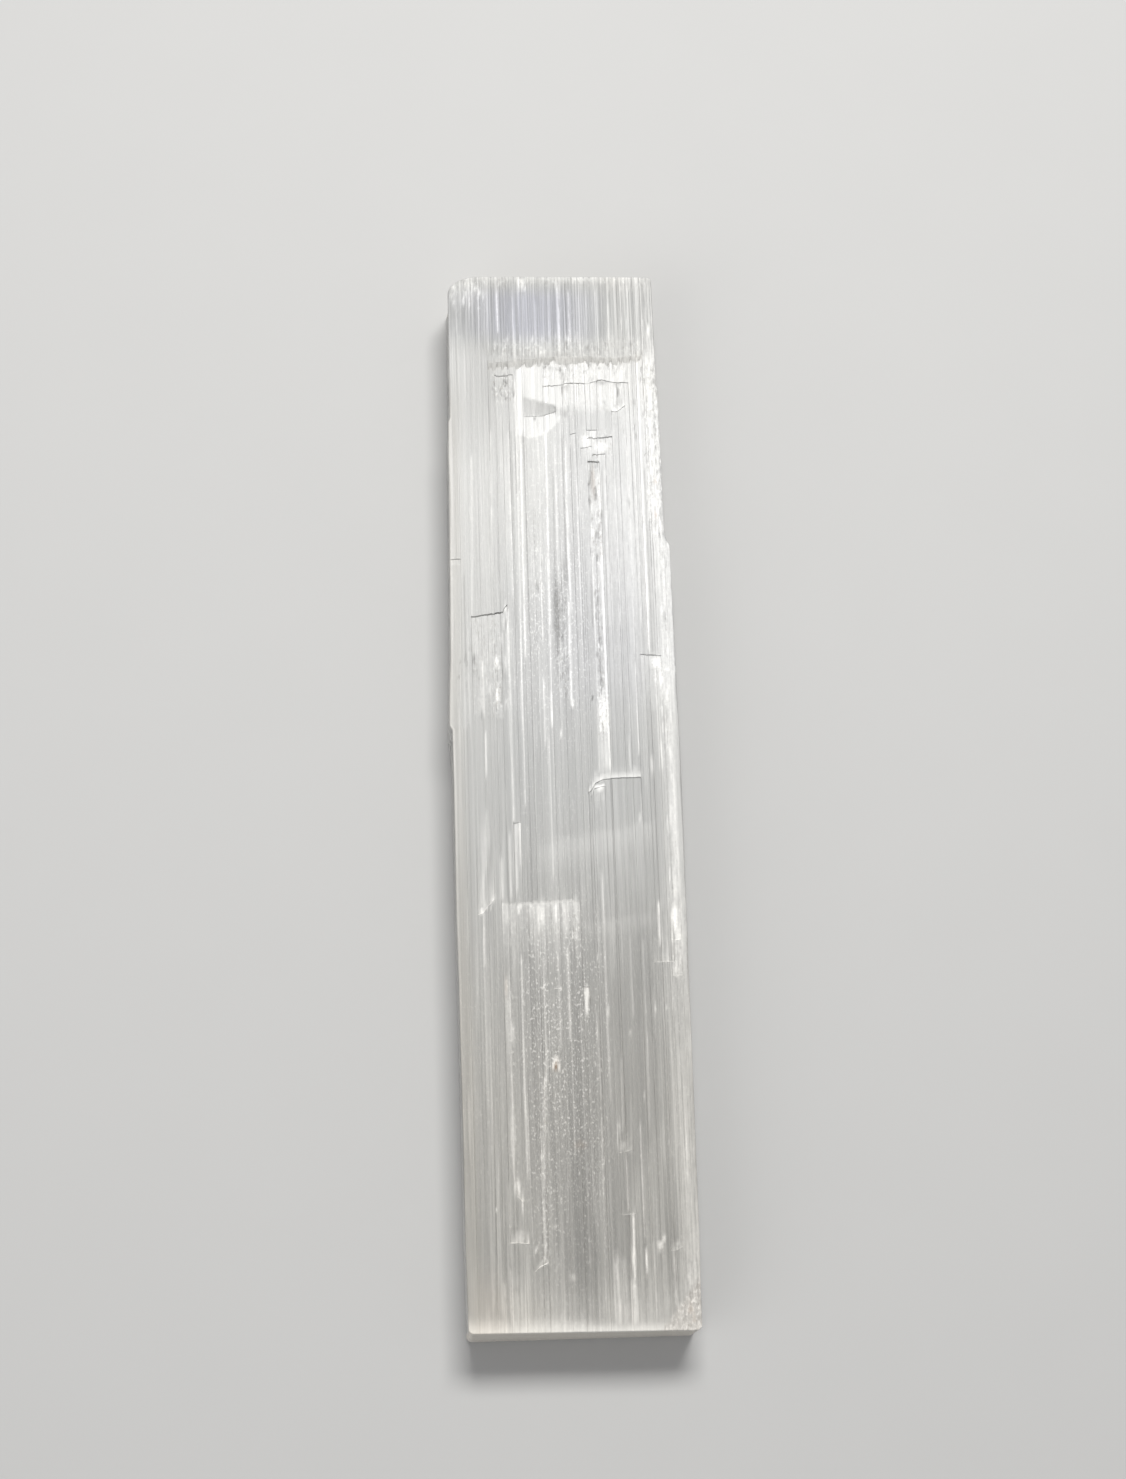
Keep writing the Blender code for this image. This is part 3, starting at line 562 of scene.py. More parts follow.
# the freshly cleaved, mirror-like part of the largest scar, a clearer wedge in it, and the wedge's tail
freshZone = [
    (9.1, 125.4), (11.4, 124.6), (13.6, 125.2), (15.3, 127), (16, 128.3), (23, 128.6), (24.3, 131),
    (25.6, 135.2), (24, 136.8), (14, 136.3), (9.6, 135.6), (9.1, 133),
]
clearWedge = [
    (10.5, 128.05), (10.5, 130.9), (12.5, 130.4), (14.8, 129.7), (15.6, 128.9), (14.8, 128.6), (13.2, 128.1),
]
clearTail = [(14.6, 129.9), (17.0, 128.7), (16.6, 127.9), (14.6, 128.5)]

# Borders of a soft patch of the upper face. right, left, above and below: where it starts to change and
# where it has changed. nearLeft and the like: the same, as distances from an edge or an end.
# across and along: a middle and a width
limits = {
    "right": (smooth, acrosses), "left": (fall, acrosses), "above": (smooth, places), "below": (fall, places),
    "nearLeft": (fall, fromLeft), "nearRight": (fall, fromRight), "nearHead": (fall, fromHead),
    "across": (bell, acrosses), "along": (bell, places),
}


def patch(strength, **borders):
    found = np.full_like(places, strength)
    for name, (first, second) in borders.items():
        shape, value = limits[name]
        found *= shape(first, second, value)
    return found


# Thin pale veils across the fibres, painted glints of light off cleavages inside the blade: the patch,
# a point of the upper border as (across, along), its slope, the body below it and the rim above it
# as (where it starts to change, where it has changed)
glintVeils = [
    (patch(0.13, right=(9, 13), left=(25.5, 27.5)), (12, 64.6), 0.2, (-4.5, -0.3), (0.2, 0.9)),
    (patch(0.10, right=(16, 17), left=(25.5, 27.5)), (17, 53.6), 0.14, (-2.6, -0.2), (0.1, 0.8)),
]

# How the finish changes along the blade, as (along, value)
finishAlong = {
    "band": [  # whiteness of the broken fibres at the right edge
        (0, 0.33), (10, 0.33), (18, 0.24), (40, 0.2), (46, 0.22), (50, 0.42), (58, 0.38), (66, 0.4),
        (74, 0.44), (84, 0.46), (90, 0.36), (100, 0.36), (108, 0.38), (137, 0.5), (139, 0.28), (150, 0.15),
    ],
    "bandWidth": [(5, 3.0), (18, 4.2), (44, 4.2), (50, 2.7), (60, 3.3), (85, 3.3), (95, 2.7)],
    # milky haze, and from 85 to 130 along partly a painted sheen of the window lamp
    "hazeAndSheen": [
        (0, 0.16), (4, 0.12), (6, 0.05), (9, 0), (78, 0.02), (88, 0.10), (95, 0.09), (104, 0.15), (116, 0.15),
        (124, 0.09), (132, 0), (150, 0),
    ],
    "streaky": [
        (0, 0.2), (1.5, 0.25), (4, 0.7), (50, 0.7), (57, 0.55), (63, 0.4), (80, 0.45), (90, 0.7), (137, 0.9),
        (138, 1.0), (150, 1.0),
    ],
    "dusty": [
        (0, 0.2), (12, 0.5), (24, 0.95), (46, 1.0), (60, 0.3), (80, 0.4), (90, 0.8), (124, 0.6), (137, 0.2),
    ],
    "greyBorder": [(0, 20), (18, 20), (28, 24.5)],  # how far across the grey middle of the lower half reaches
}

# The matt, rubbed upper end, by places across: where along the blade it starts, and half that border's width
rubbedBorder = [(0, 140.5), (4, 139.5), (6.5, 137.3)]
rubbedBlur = [(0, 5.0), (4, 2.5), (6.5, 0.4)]

# Soft patches of the finish
patches = {
    "calm": patch(0.8, right=(8.5, 9.6), left=(25.5, 26.5), above=(122, 126)),  # bundles lie nearly level
    "white": [
        # a thin white line on the left edge's rounding, from 25 up: a painted highlight
        patch(0.3, above=(25, 50), nearLeft=(0.05, 0.45)),
        patch(0.3, nearHead=(0.1, 1.3)),
        patch(0.3, above=(143.5, 149), left=(2.5, 6)),
    ],
    "hazeShare": [  # how much of the haze shows, beside a share that shows everywhere
        patch(0.35, right=(2, 9)),
        patch(0.25, right=(16, 22)),
        patch(0.8, right=(16, 22), above=(84, 92), below=(114, 122)),
    ],
    "hazeAndSheen": [
        patch(0.12, right=(6, 9), above=(136.8, 137.4), below=(138.5, 142)),
        patch(0.05, left=(1, 5), above=(20, 34), below=(60, 100)),
        patch(0.05, right=(19, 23), below=(5, 12)),
        patch(0.05, left=(6, 10), below=(5, 12)),
        patch(0.09, nearRight=(2.6, 3.6), above=(46, 56), below=(92, 100)),
    ],
    "grey": [  # in the middle of the lower half
        patch(0.21, right=(3, 9), above=(2, 9), below=(44, 63)),
        patch(0.21, right=(11, 16), above=(2, 9), below=(44, 63)),
    ],
    "cool": [  # warm where it is negative
        patch(-0.15),
        patch(1.2, across=(12, 10), above=(138, 142), below=(146, 149.5)),
        patch(-0.2, across=(24, 2.2), above=(137.5, 139)),
        patch(-0.45, nearLeft=(0.5, 2.5), below=(126, 138)),
        patch(0.22, right=(10, 18), above=(80, 92), below=(126, 134)),
        patch(0.25, right=(4, 9), left=(24, 28), along=(92, 22)),
        patch(-0.6, below=(25, 75)),
        patch(-0.5, left=(2, 14), below=(2, 9)),
    ],
    "dusty": [patch(0.3), patch(0.7, right=(7, 10), left=(18, 20))],
}


def inZone(outline):
    # whether each place of the face lies inside an outline
    inside = np.zeros(places.shape, bool)
    for (a, b), (c, d) in zip(outline, outline[1:] + outline[:1]):
        if b != d:
            inside ^= ((b > places) != (d > places)) & (acrosses < (c - a) * (places - b) / (d - b) + a)
    return inside


def onLine(flake, offset, width):
    # a soft line along a flake's broken line, that far above it
    return np.where(flake["on"][:, None], bell(offset, width, places - flake["at"][:, None]), 0)


def bundleDrops():
    # how far the bundles and the single fibres lie below the face
    count = bundles.max() + 1
    atFoot = wear["bundleDrop"] * rng.uniform(0, 1, count)[bundles][:, None] ** 2
    atHead = wear["bundleDrop"] * rng.uniform(0, 1, count)[bundles][:, None] ** 2
    drop = atFoot + (atHead - atFoot) * places / blade["length"]
    bounds = np.array([0.0, *seams, blade["rightEdge"]])
    middles, widths = (bounds[:-1] + bounds[1:]) / 2, np.diff(bounds)
    lean = rng.uniform(-wear["bundleTilt"], wear["bundleTilt"], count)[bundles]
    drop = drop + (lean * 2 * (reference - middles[bundles]) / widths[bundles])[:, None]
    fibres = wear["fibreRelief"] * tufts(len(reference), (1, 1, 4))[:, None]
    slow = 0.7 + 0.3 * np.sin(places * 0.045 + 6 * tufts(len(reference), (1, 2, 6))[:, None])
    return drop * (1 - patches["calm"]) + fibres * slow + wear["fibreRelief"]


def chips():
    # depth of the chipped corner and of the crumbled right edge, and where that edge is crumbled
    rough = 1 + wear["chipRough"] * tufts(len(reference), (1, 2, 5))[:, None] * np.sin(places * 3.1)
    wide, tall, deep = wear["chipCorner"]
    corner = deep * np.clip(1 - fromRight / wide - places / tall, 0, 1) * rough
    start, end, width, depth = wear["chipMargin"]
    inside = np.clip(np.minimum(places - start, end - places) / wear["chipFade"], 0, 1)
    return corner, depth * inside * np.clip(1 - fromRight / width, 0, 1) * rough, inside


def wornEdges():
    radius = wear["edge"] + wear["edgeSpread"] * np.sin(rows * 0.37) * np.sin(rows * 0.083 + 1)
    cornerAlong = [blade["length"] - below for below in wear["cornerAlong"]]
    nearCorner = np.clip(1 - fromLeft / wear["cornerAcross"], 0, 1) * patch(1, above=cornerAlong)
    radius = radius + wear["corner"] * nearCorner
    atSides = worn(np.minimum(fromLeft, fromRight), radius)
    return np.maximum(atSides, worn(np.minimum(fromFoot, fromHead), radius * wear["endShare"]))


def rightBand():
    # broken, whitened fibres along the right edge, strongest on a ridge a little way in
    besideRidge = 1 - bell(*wear["ridge"], fromRight)
    thinner = besideRidge * patch(0.45, above=(56, 62), below=(86, 90))
    band = along(finishAlong["band"], places) * (1 - thinner)
    band = band * fall(1.2, along(finishAlong["bandWidth"], places), fromRight)
    return band * np.where(places < 110, 1 - patch(0.35, nearRight=(0.4, 0.9), above=(44, 50)), 1)


def whitened(chipped, crumbledMargin):
    # layers of white, of which the strongest shows
    white = wear["white"]
    found = [rightBand(), white["chip"] * chipped, *patches["white"]]
    for flake in flakes:
        beyond = (places - flake["at"][:, None]) * (-1 if flake["run"] > 0 else 1)
        # whitened fibres, and partly a painted reflection of the crack under the line
        for share, reach in flake["glow"]:
            found.append(np.where(flake["on"][:, None] & (beyond > 0), share * bell(0, reach, beyond), 0))
    width = wear["chipMargin"][2]
    found.append(white["margin"] * crumbledMargin * fall(width - 0.3, width + 0.5, fromRight))
    footReach = wear["footReach"] - patch(0.9, right=(12, 18))
    found.append(white["foot"] * fall(0.0, footReach, fromFoot) ** 1.5)
    return np.maximum.reduce(found)


def hazeSheenAndGlints():
    # thin, even whiteness laid over the rest: milky haze, partly a painted sheen, and the veils' painted
    # glints
    showing = wear["hazeEverywhere"] + sum(patches["hazeShare"])
    hazeAndSheen = along(finishAlong["hazeAndSheen"], places) * showing + sum(patches["hazeAndSheen"])
    for glint, (across, place), slope, body, rim in glintVeils:
        above = places - place - slope * (acrosses - across)
        hazeAndSheen += glint * smooth(*body, above) * fall(*rim, above)
    return hazeAndSheen


def shaded(chipped, rubbed):
    # layers of shade, of which the darkest shows
    greyBorder = along(finishAlong["greyBorder"], places)
    shade = wear["shade"]
    return np.maximum.reduce([
        sum(patches["grey"]) * fall(greyBorder, greyBorder + 3, acrosses),
        shade["chip"] * chipped,
        patch(0.2, left=(2, 7)) * rubbed,
        patch(0.09, left=(7.5, 9.2), above=(118, 128)),
        patch(0.32, right=(8.5, 10), left=(17.5, 19)) * onLine(flakes[0], 0.75, 0.25),
        shade["freshZone"] * inZone(freshZone),
        shade["clearTail"] * inZone(clearTail),
        (shade["clearWedge"] + patch(0.06, right=(11, 14))) * inZone(clearWedge),
    ])


def paintLines(milk, dim):
    straight = [(width, (high, across, first), (low, across, last))
                for width, across, high, low, first, last in straightLines]
    for width, *points in straight + bentLines:
        steps, middles, whites = zip(*sorted(points))
        beside = bell(np.interp(places, steps, middles), wear["lineSpread"] * width, acrosses)
        ends = patch(1, above=(steps[0] - 0.4, steps[0] + 0.8), below=(steps[-1] - 0.8, steps[-1] + 0.3))
        found = wear["lineWhiteness"] * np.interp(places, steps, whites) * beside * ends
        np.maximum(milk, found, out=milk)
        np.maximum(dim, -found, out=dim)


def strewSpots():
    found = []
    for count, *limits, white, dim in strewn:
        for _ in range(count):
            spot = [rng.uniform(*limit) for limit in limits]
            whiteness, shade = white * rng.uniform(0.3, 1.0), dim * rng.uniform(0.3, 1.0)
            isDark = rng.uniform() < dim / (dim + white)
            found.append((*spot, 0.0 if isDark else whiteness, shade if isDark else 0.0))
    return found


def paintSpots(relief, milk, dim):
    for across, place, wide, tall, high, white, dark in spots + strewSpots():
        left, right = np.searchsorted(reference, (across - 3 * wide - 0.6, across + 3 * wide + 0.6))
        low, top = np.searchsorted(rows, (place - 3 * tall - 1.2, place + 3 * tall + 1.2))
        part = (slice(left, right), slice(low, top))
        near = ((acrosses[part] - across) / wide) ** 2 + ((places[part] - place) / tall) ** 2
        share = np.exp(-near ** 1.5)
        relief[part] += high * share
        milk[part] = np.maximum(milk[part] * (1 - dark * share), white * share)
        dim[part] = np.maximum(dim[part], dark * share)


def crumbliness(ragged):
    found = np.zeros_like(places)
    for left, right, low, high, strength in crumbled:
        within = patch(strength, right=(left - 0.2, left + 0.3), left=(right - 0.3, right + 0.2))
        within *= smooth(low - 0.6, low + 0.6, ragged) * fall(high - 0.6, high + 0.6, ragged)
        found = np.maximum(found, within)
    return found


def rust():
    found = np.zeros_like(places)
    for across, place, wide, tall, strength in stains:
        near = ((acrosses - across) / wide) ** 2 + ((places - place) / tall) ** 2
        found = np.maximum(found, strength * np.exp(-near ** 1.5))
    return found


def upperFace():
    # heights of the upper face, and its finish by name
    drop = bundleDrops()
    taken, milk = flakeDepth(flakes, True)
    corner, margin, crumbledMargin = chips()
    chipped = smooth(0.0, 0.04, corner)
    border, blur = along(rubbedBorder, acrosses), along(rubbedBlur, acrosses)
    rubbed = smooth(border - blur, border + blur, places)
    relief = np.zeros_like(places)
    milk = np.maximum(milk, whitened(chipped, crumbledMargin))
    dim = shaded(chipped, rubbed)
    paintLines(milk, dim)
    paintSpots(relief, milk, dim)
    hazeAndSheen = hazeSheenAndGlints()

    ragged = places + 0.5 * tufts(len(reference), (1, 2, 6))[:, None]
    fresh = inZone(freshZone) * np.where(acrosses > 15.8, smooth(127.9, 130.2, ragged), 1.0)
    fresh = np.maximum(fresh, patch(0.4, right=(24.2, 25.2), above=(112, 124), below=(136, 137)))
    chipFloor = smooth(0.0, 0.05, corner)
    atLeft = wear["streakyAtLeft"]
    streaky = along(finishAlong["streaky"], places) * (atLeft + (1 - atLeft) * smooth(1.5, 4.0, fromLeft))
    finish = {
        "milk": milk + hazeAndSheen * (1 - milk),
        "fresh": fresh,
        "dim": dim,
        "rubbed": rubbed,
        "cool": sum(patches["cool"]) - wear["warmLine"] * onLine(flakes[0], 0, 0.8),
        "streaky": streaky * (1 - 0.45 * fresh),
        "crumbly": np.maximum(crumbliness(ragged), wear["chipCrumbs"] * chipFloor),
        "stained": np.maximum(rust(), wear["chipStain"] * chipFloor),
        "dusty": along(finishAlong["dusty"], places) * sum(patches["dusty"]),
    }
    height = blade["thickness"] - np.maximum(drop - relief, 0) - taken - corner - margin - wornEdges()
    return height, finish


def lowerFace():
    level = rng.choice(blade["underLevels"], bundles.max() + 1)
    level[blade["restsOn"]] = 0.0
    taken, _ = flakeDepth(underFlakes, False)
    nearest = np.minimum(np.minimum(fromLeft, fromRight), np.minimum(fromFoot, fromHead))
    return level[bundles][:, None] + taken + worn(nearest, blade["lowerWear"])


print("blade: faces")
topHeight, finish = upperFace()
underHeight = lowerFace()

# Layers of fibre in the long sides and the sawn ends
layers = {
    "bounds": [0.12, 0.26, 0.37, 0.53, 0.68, 0.80, 0.92],  # shares of the height
    "pair": 0.004,
    "inset": 0.24,  # a layer stands back by up to this
    "wander": 0.06,
    "wave": (0.03, 0.08),  # how fast it wanders along the blade
    "breaks": [(5, 130), (8, 30), (0.08, 0.22)],  # broken stretches: where they start, how long, how deep
    "breakCount": 2,
    "fadeColumns": 6,  # columns over which that fades out across the sawn ends
    "white": (0.08, 0.4),
    "plain": {"streaky": 0.9, "cool": -0.2},  # finish of the sides, the ends and the underside
    "underRows": 6,  # rows of the upper face for each row underneath
}
levels = [0.0]
for bound in layers["bounds"]:
    levels += [bound - layers["pair"], bound + layers["pair"]]
levels = np.array([*levels, 1.0])
lastLevel = len(levels) - 1
layerOf = np.searchsorted(layers["bounds"], levels)


def sideInsets():
    # how far each layer stands back, at every row, for one long side
    count = len(layers["bounds"]) + 1
    base = rng.uniform(0, layers["inset"], count)
    base[-1] = 0.0
    base[0] *= 0.5
    inset = np.empty((len(rows), len(levels)))
    for layer in range(count):
        wander = layers["wander"] * (1 + np.sin(rows * rng.uniform(*layers["wave"]) + rng.uniform(0, 6)))
        broken = np.zeros(len(rows))
        for _ in range(layers["breakCount"]):
            start, run, deep = [rng.uniform(*limit) for limit in layers["breaks"]]
            within = (rows > start) & (rows < start + run)
            broken += deep * within * (1 - (rows - start) / run)
        if layer == count - 1:
            wander, broken = 0 * wander, 0 * broken
        inset[:, layerOf == layer] = (base[layer] + wander + broken)[:, None]
    return inset


def bladePoints():
    # every surface point of the block, its number, and its finish
    left, right = sideInsets(), sideInsets()
    number = np.full((lastColumn + 1, lastRow + 1, lastLevel + 1), -1)
    surface = np.zeros(number.shape, bool)
    surface[[0, -1]] = surface[:, [0, -1]] = surface[:, :, [0, -1]] = True
    i, j, k = np.nonzero(surface)
    number[i, j, k] = np.arange(len(i))
    x, y = acrosses[i, j].copy(), places[i, j].copy()
    low, high, share = underHeight[i, j], topHeight[i, j], levels[k]
    z = low + (high - low) * share
    rim = (k > 0) & (k < lastLevel)
    ends = (j == 0) | (j == lastRow)
    for inset, fromSide, inwards in ((left, i, 1), (right, lastColumn - i, -1)):
        fading = np.clip(1 - fromSide / layers["fadeColumns"], 0, 1)
        x += inwards * np.where(rim & (ends | (fromSide == 0)), inset[j, k] * fading, 0)
    y += np.where(j == 0, lowerEnd(x, share) - lowerEnd(x, 1.0), 0)
    y += np.where(j == lastRow, upperEnd(x, share) - upperEnd(x, 1.0), 0)
    plain = {"milk": rng.uniform(*layers["white"], len(layers["bounds"]) + 1)[layerOf][k], **layers["plain"]}
    atTop = k == lastLevel
    looks = {name: np.where(atTop, face[i, j], plain.get(name, 0.0)) for name, face in finish.items()}
    looks["sawn"] = (ends & (k < lastLevel)).astype(float)
    return number, np.stack([x, y, z], 1), looks


def sparse(size, keep, step):
    # a sparser choice of columns or rows: the ones to keep, one in so many, and those near both ends
    nearEnds = {0, 1, 2, 4, size - 5, size - 3, size - 2, size - 1}
    return sorted({*keep, *range(0, size, step), *nearEnds})


def quads(grid, flip):
    a, b, c, d = grid[:-1, :-1], grid[1:, :-1], grid[1:, 1:], grid[:-1, 1:]
    order = (a, d, c, b) if flip else (a, b, c, d)
    return np.stack([part.ravel() for part in order], 1)


def underFaces(under):
    # larger faces for the underside: at its border they take up every point of the sides and the ends
    seamColumns = [n for n in range(1, len(bundles)) if bundles[n] != bundles[n - 1]]
    columns = sparse(lastColumn + 1, seamColumns + [n - 1 for n in seamColumns], lastColumn)
    walls = [flake["middle"] + side * flake["wall"] for flake in underFlakes for side in (-0.5, 0.5)]
    wallRows = [int(np.argmin(np.abs(rows - wall))) for wall in walls]
    rowsKept = sparse(lastRow + 1, wallRows, layers["underRows"])
    faces = []
    for a, b in zip(columns, columns[1:]):
        for c, d in zip(rowsKept, rowsKept[1:]):
            left = list(range(c, d)) if a == 0 else [c]
            top = list(range(a, b)) if d == lastRow else [a]
            right = list(range(d, c, -1)) if b == lastColumn else [d]
            bottom = list(range(b, a, -1)) if c == 0 else [b]
            loop = [under[a, r] for r in left] + [under[m, d] for m in top]
            loop += [under[b, r] for r in right] + [under[m, c] for m in bottom]
            faces.append([int(v) for v in loop])
    return faces


def wallLooks():
    # how white the walls of the broken lines are, or how much shade is painted on them,
    # one value for each quad of the upper face
    middle = (places[:-1, :-1] + places[1:, 1:]) / 2
    found = np.zeros_like(middle)
    margin = 0.04  # so that no quad of a wall is missed
    for flake in flakes:
        beyond = (middle - flake["at"][:-1, None]) * (-1 if flake["run"] > 0 else 1)
        half = flake["wall"] / 2
        near = (beyond < half + margin) & (beyond > half - flake["width"][:-1, None] - margin)
        on = (flake["on"][:-1] & flake["on"][1:])[:, None]
        ragged = tufts(len(reference) - 1, (0.3, 3, 8), (0.2, 1, 3))[:, None]
        ragged = 0.6 + ragged * (0.35 if flake["wall"] > 0.5 else 1.0)  # a wide wall is more even
        # where edge is negative, this is painted shade on the wall
        found = np.where(near & on, flake["edge"] * ragged, found)
    return found


def makeBlade():
    number, points, looks = bladePoints()
    top = quads(number[:, :, -1], False)
    sides = [quads(number[0], True), quads(number[-1], False)]
    ends = [quads(number[:, 0], False), quads(number[:, -1], True)]
    faces = np.concatenate([top, *sides, *ends]).tolist() + underFaces(number[:, :, 0])
    used = np.zeros(len(points), bool)
    used[[v for face in faces for v in face]] = True
    renumber = np.cumsum(used) - 1
    points = points[used]
    middle = (points.min(0) + points.max(0)) / 2
    points -= [middle[0], middle[1], points[:, 2].min()]  # to the solid's own origin
    points = np.clip(points * mm, *(np.array(corner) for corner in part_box("blade")))
    mesh = bpy.data.meshes.new("seleniteBlade")
    mesh.from_pydata(points.tolist(), [], [[int(renumber[v]) for v in face] for face in faces])
    for name, values in looks.items():
        mesh.attributes.new(name, "FLOAT", "POINT").data.foreach_set("value", values[used].astype(np.float32))
    wall = np.zeros(len(faces), np.float32)
    wall[:len(top)] = wallLooks().ravel()
    mesh.attributes.new("wall", "FLOAT", "FACE").data.foreach_set("value", wall)
    piece = bpy.data.objects.new("seleniteBlade", mesh)
    bpy.context.scene.collection.objects.link(piece)
    return piece


class Sock:
    # a value in a shader: + - and * add Math nodes
    def __init__(self, graph, socket):
        self.graph = graph
        self.socket = socket

    def math(self, operation, first, second):
        return self.graph.add("ShaderNodeMath", {"operation": operation}, {0: first, 1: second})

    def __add__(self, other):
        return self.math("ADD", self, other)

    def __sub__(self, other):
        return self.math("SUBTRACT", self, other)

    def __rsub__(self, other):
        return self.math("SUBTRACT", other, self)

    def __mul__(self, other):
        return self.math("MULTIPLY", self, other)

    __radd__ = __add__
    __rmul__ = __mul__


class Graph:
    def __init__(self, name):
        self.material = bpy.data.materials.new(name)
        self.material.use_nodes = True
        self.tree = self.material.node_tree
        self.tree.nodes.clear()

    def add(self, kind, settings=None, sockets=None, out=0):
        node = self.tree.nodes.new(kind)
        for name, value in (settings or {}).items():
            setattr(node, name, value)
        for name, value in (sockets or {}).items():
            if isinstance(value, Sock):
                self.tree.links.new(value.socket, node.inputs[name])
            else:
                node.inputs[name].default_value = value
        return Sock(self, node.outputs[out]) if node.outputs else None

    def attribute(self, name):
        return self.add("ShaderNodeAttribute", {"attribute_name": name}, out=2)

    def range(self, value, low, high, kind="SMOOTHSTEP"):
        sockets = {"Value": value, "From Min": low, "From Max": high}
        return self.add("ShaderNodeMapRange", {"interpolation_type": kind}, sockets)

    def mix(self, share, first, second, kind="MIX"):
        settings = {"data_type": "RGBA", "blend_type": kind}
        return self.add("ShaderNodeMix", settings, {0: share, 6: first, 7: second}, out=2)

    def vector(self, operation, first, second):
        return self.add("ShaderNodeVectorMath", {"operation": operation}, {0: first, 1: second})

    def shader(self, sockets):
        return self.add("ShaderNodeBsdfPrincipled", {}, sockets)

    def finish(self, **outputs):
        self.add("ShaderNodeOutputMaterial", {}, outputs)
        return self.material


spar = {
    "clear": (0.338, 0.343, 0.338, 1),  # deep, clear fibres
    "silk": (0.595, 0.603, 0.592, 1),  # silky ones
    "white": (0.80, 0.80, 0.78, 1),  # broken, milky ones
    "shaded": (0.16, 0.158, 0.15, 1),
    "dirt": (0.30, 0.275, 0.23, 1),  # between the crumbs
    "stain": (0.52, 0.30, 0.15, 1),
    "sawn": (0.74, 0.70, 0.63, 1),
    "cool": (0.865, 0.875, 1.0, 1),
    "warm": (1.0, 0.953, 0.885, 1),
    "tintOfWhite": 0.7,  # the broken fibres take this much of those two
    "ior": 1.52,
    "transmission": 0.5,
    "depthTint": (0.88, 0.91, 0.89, 1),  # what light keeps of each colour on its way through
    "absorption": 9.0,  # per metre
    "roughness": 0.40,
    "freshRoughness": 0.31,
    "whiteRoughness": 0.6,
    "roughening": {"fine": 0.25, "sawn": 0.2, "rubbed": 0.12, "dim": 0.3},
    "relief": 0.00003,  # metres
    "height": {"fine": 0.6, "hair": 0.3, "middling": 0.7, "crumbs": 1.2},  # shares of it
    "grainHeight": {"milk": 0.8, "sawn": 1.2, "all": 0.05},
    "grain": {"Scale": 2600.0, "Detail": 3.0},
    # noises drawn out along the fibres: width and length in millimetres, detail, and a shift of its own
    "fibres": {
        "hair": (0.15, 18.0, 1.0, 37.0),
        "fine": (0.28, 26.0, 2.0, 3.1),
        "middling": (1.1, 60.0, 2.0, 11.7),
        "broad": (5.0, 90.0, 1.0, 5.3),
        "threads": (0.35, 14.0, 1.0, 23.0),
        "fineThreads": (0.19, 30.0, 0.0, 71.0),
        "dashes": (0.32, 2.4, 2.0, 51.0),
        "crumbs": (0.30, 0.52, 2.5, 83.0),
        "specks": (0.22, 0.34, 0.0, 91.0),
    },
    # how much they count in the silkiness, and what rubbing adds to that
    "streaks": {"hair": (0.6, 0.9), "fine": (1.1, 0.5), "middling": (0.6, -0.2)},
    "broadStreaks": 0.6,
    # how much they break up the white
    "splinters": {"fine": 1.4, "dashes": 2.2, "grain": 1.2, "all": 0.88},
    # how much each of these whitens the fibres
    "whitening": {
        "threads": 0.15, "fineThreads": 0.07, "rubbedThreads": 0.2,
        "specks": 0.45, "crumbs": 0.5, "sawn": 0.2,
    },
    "shadeOfDim": 0.7,
    "shadeOfWall": 0.75,
    "dirtInGaps": 0.6,
    "sawnOfWhite": 0.7,
    "sawnOfSilk": 0.85,
}


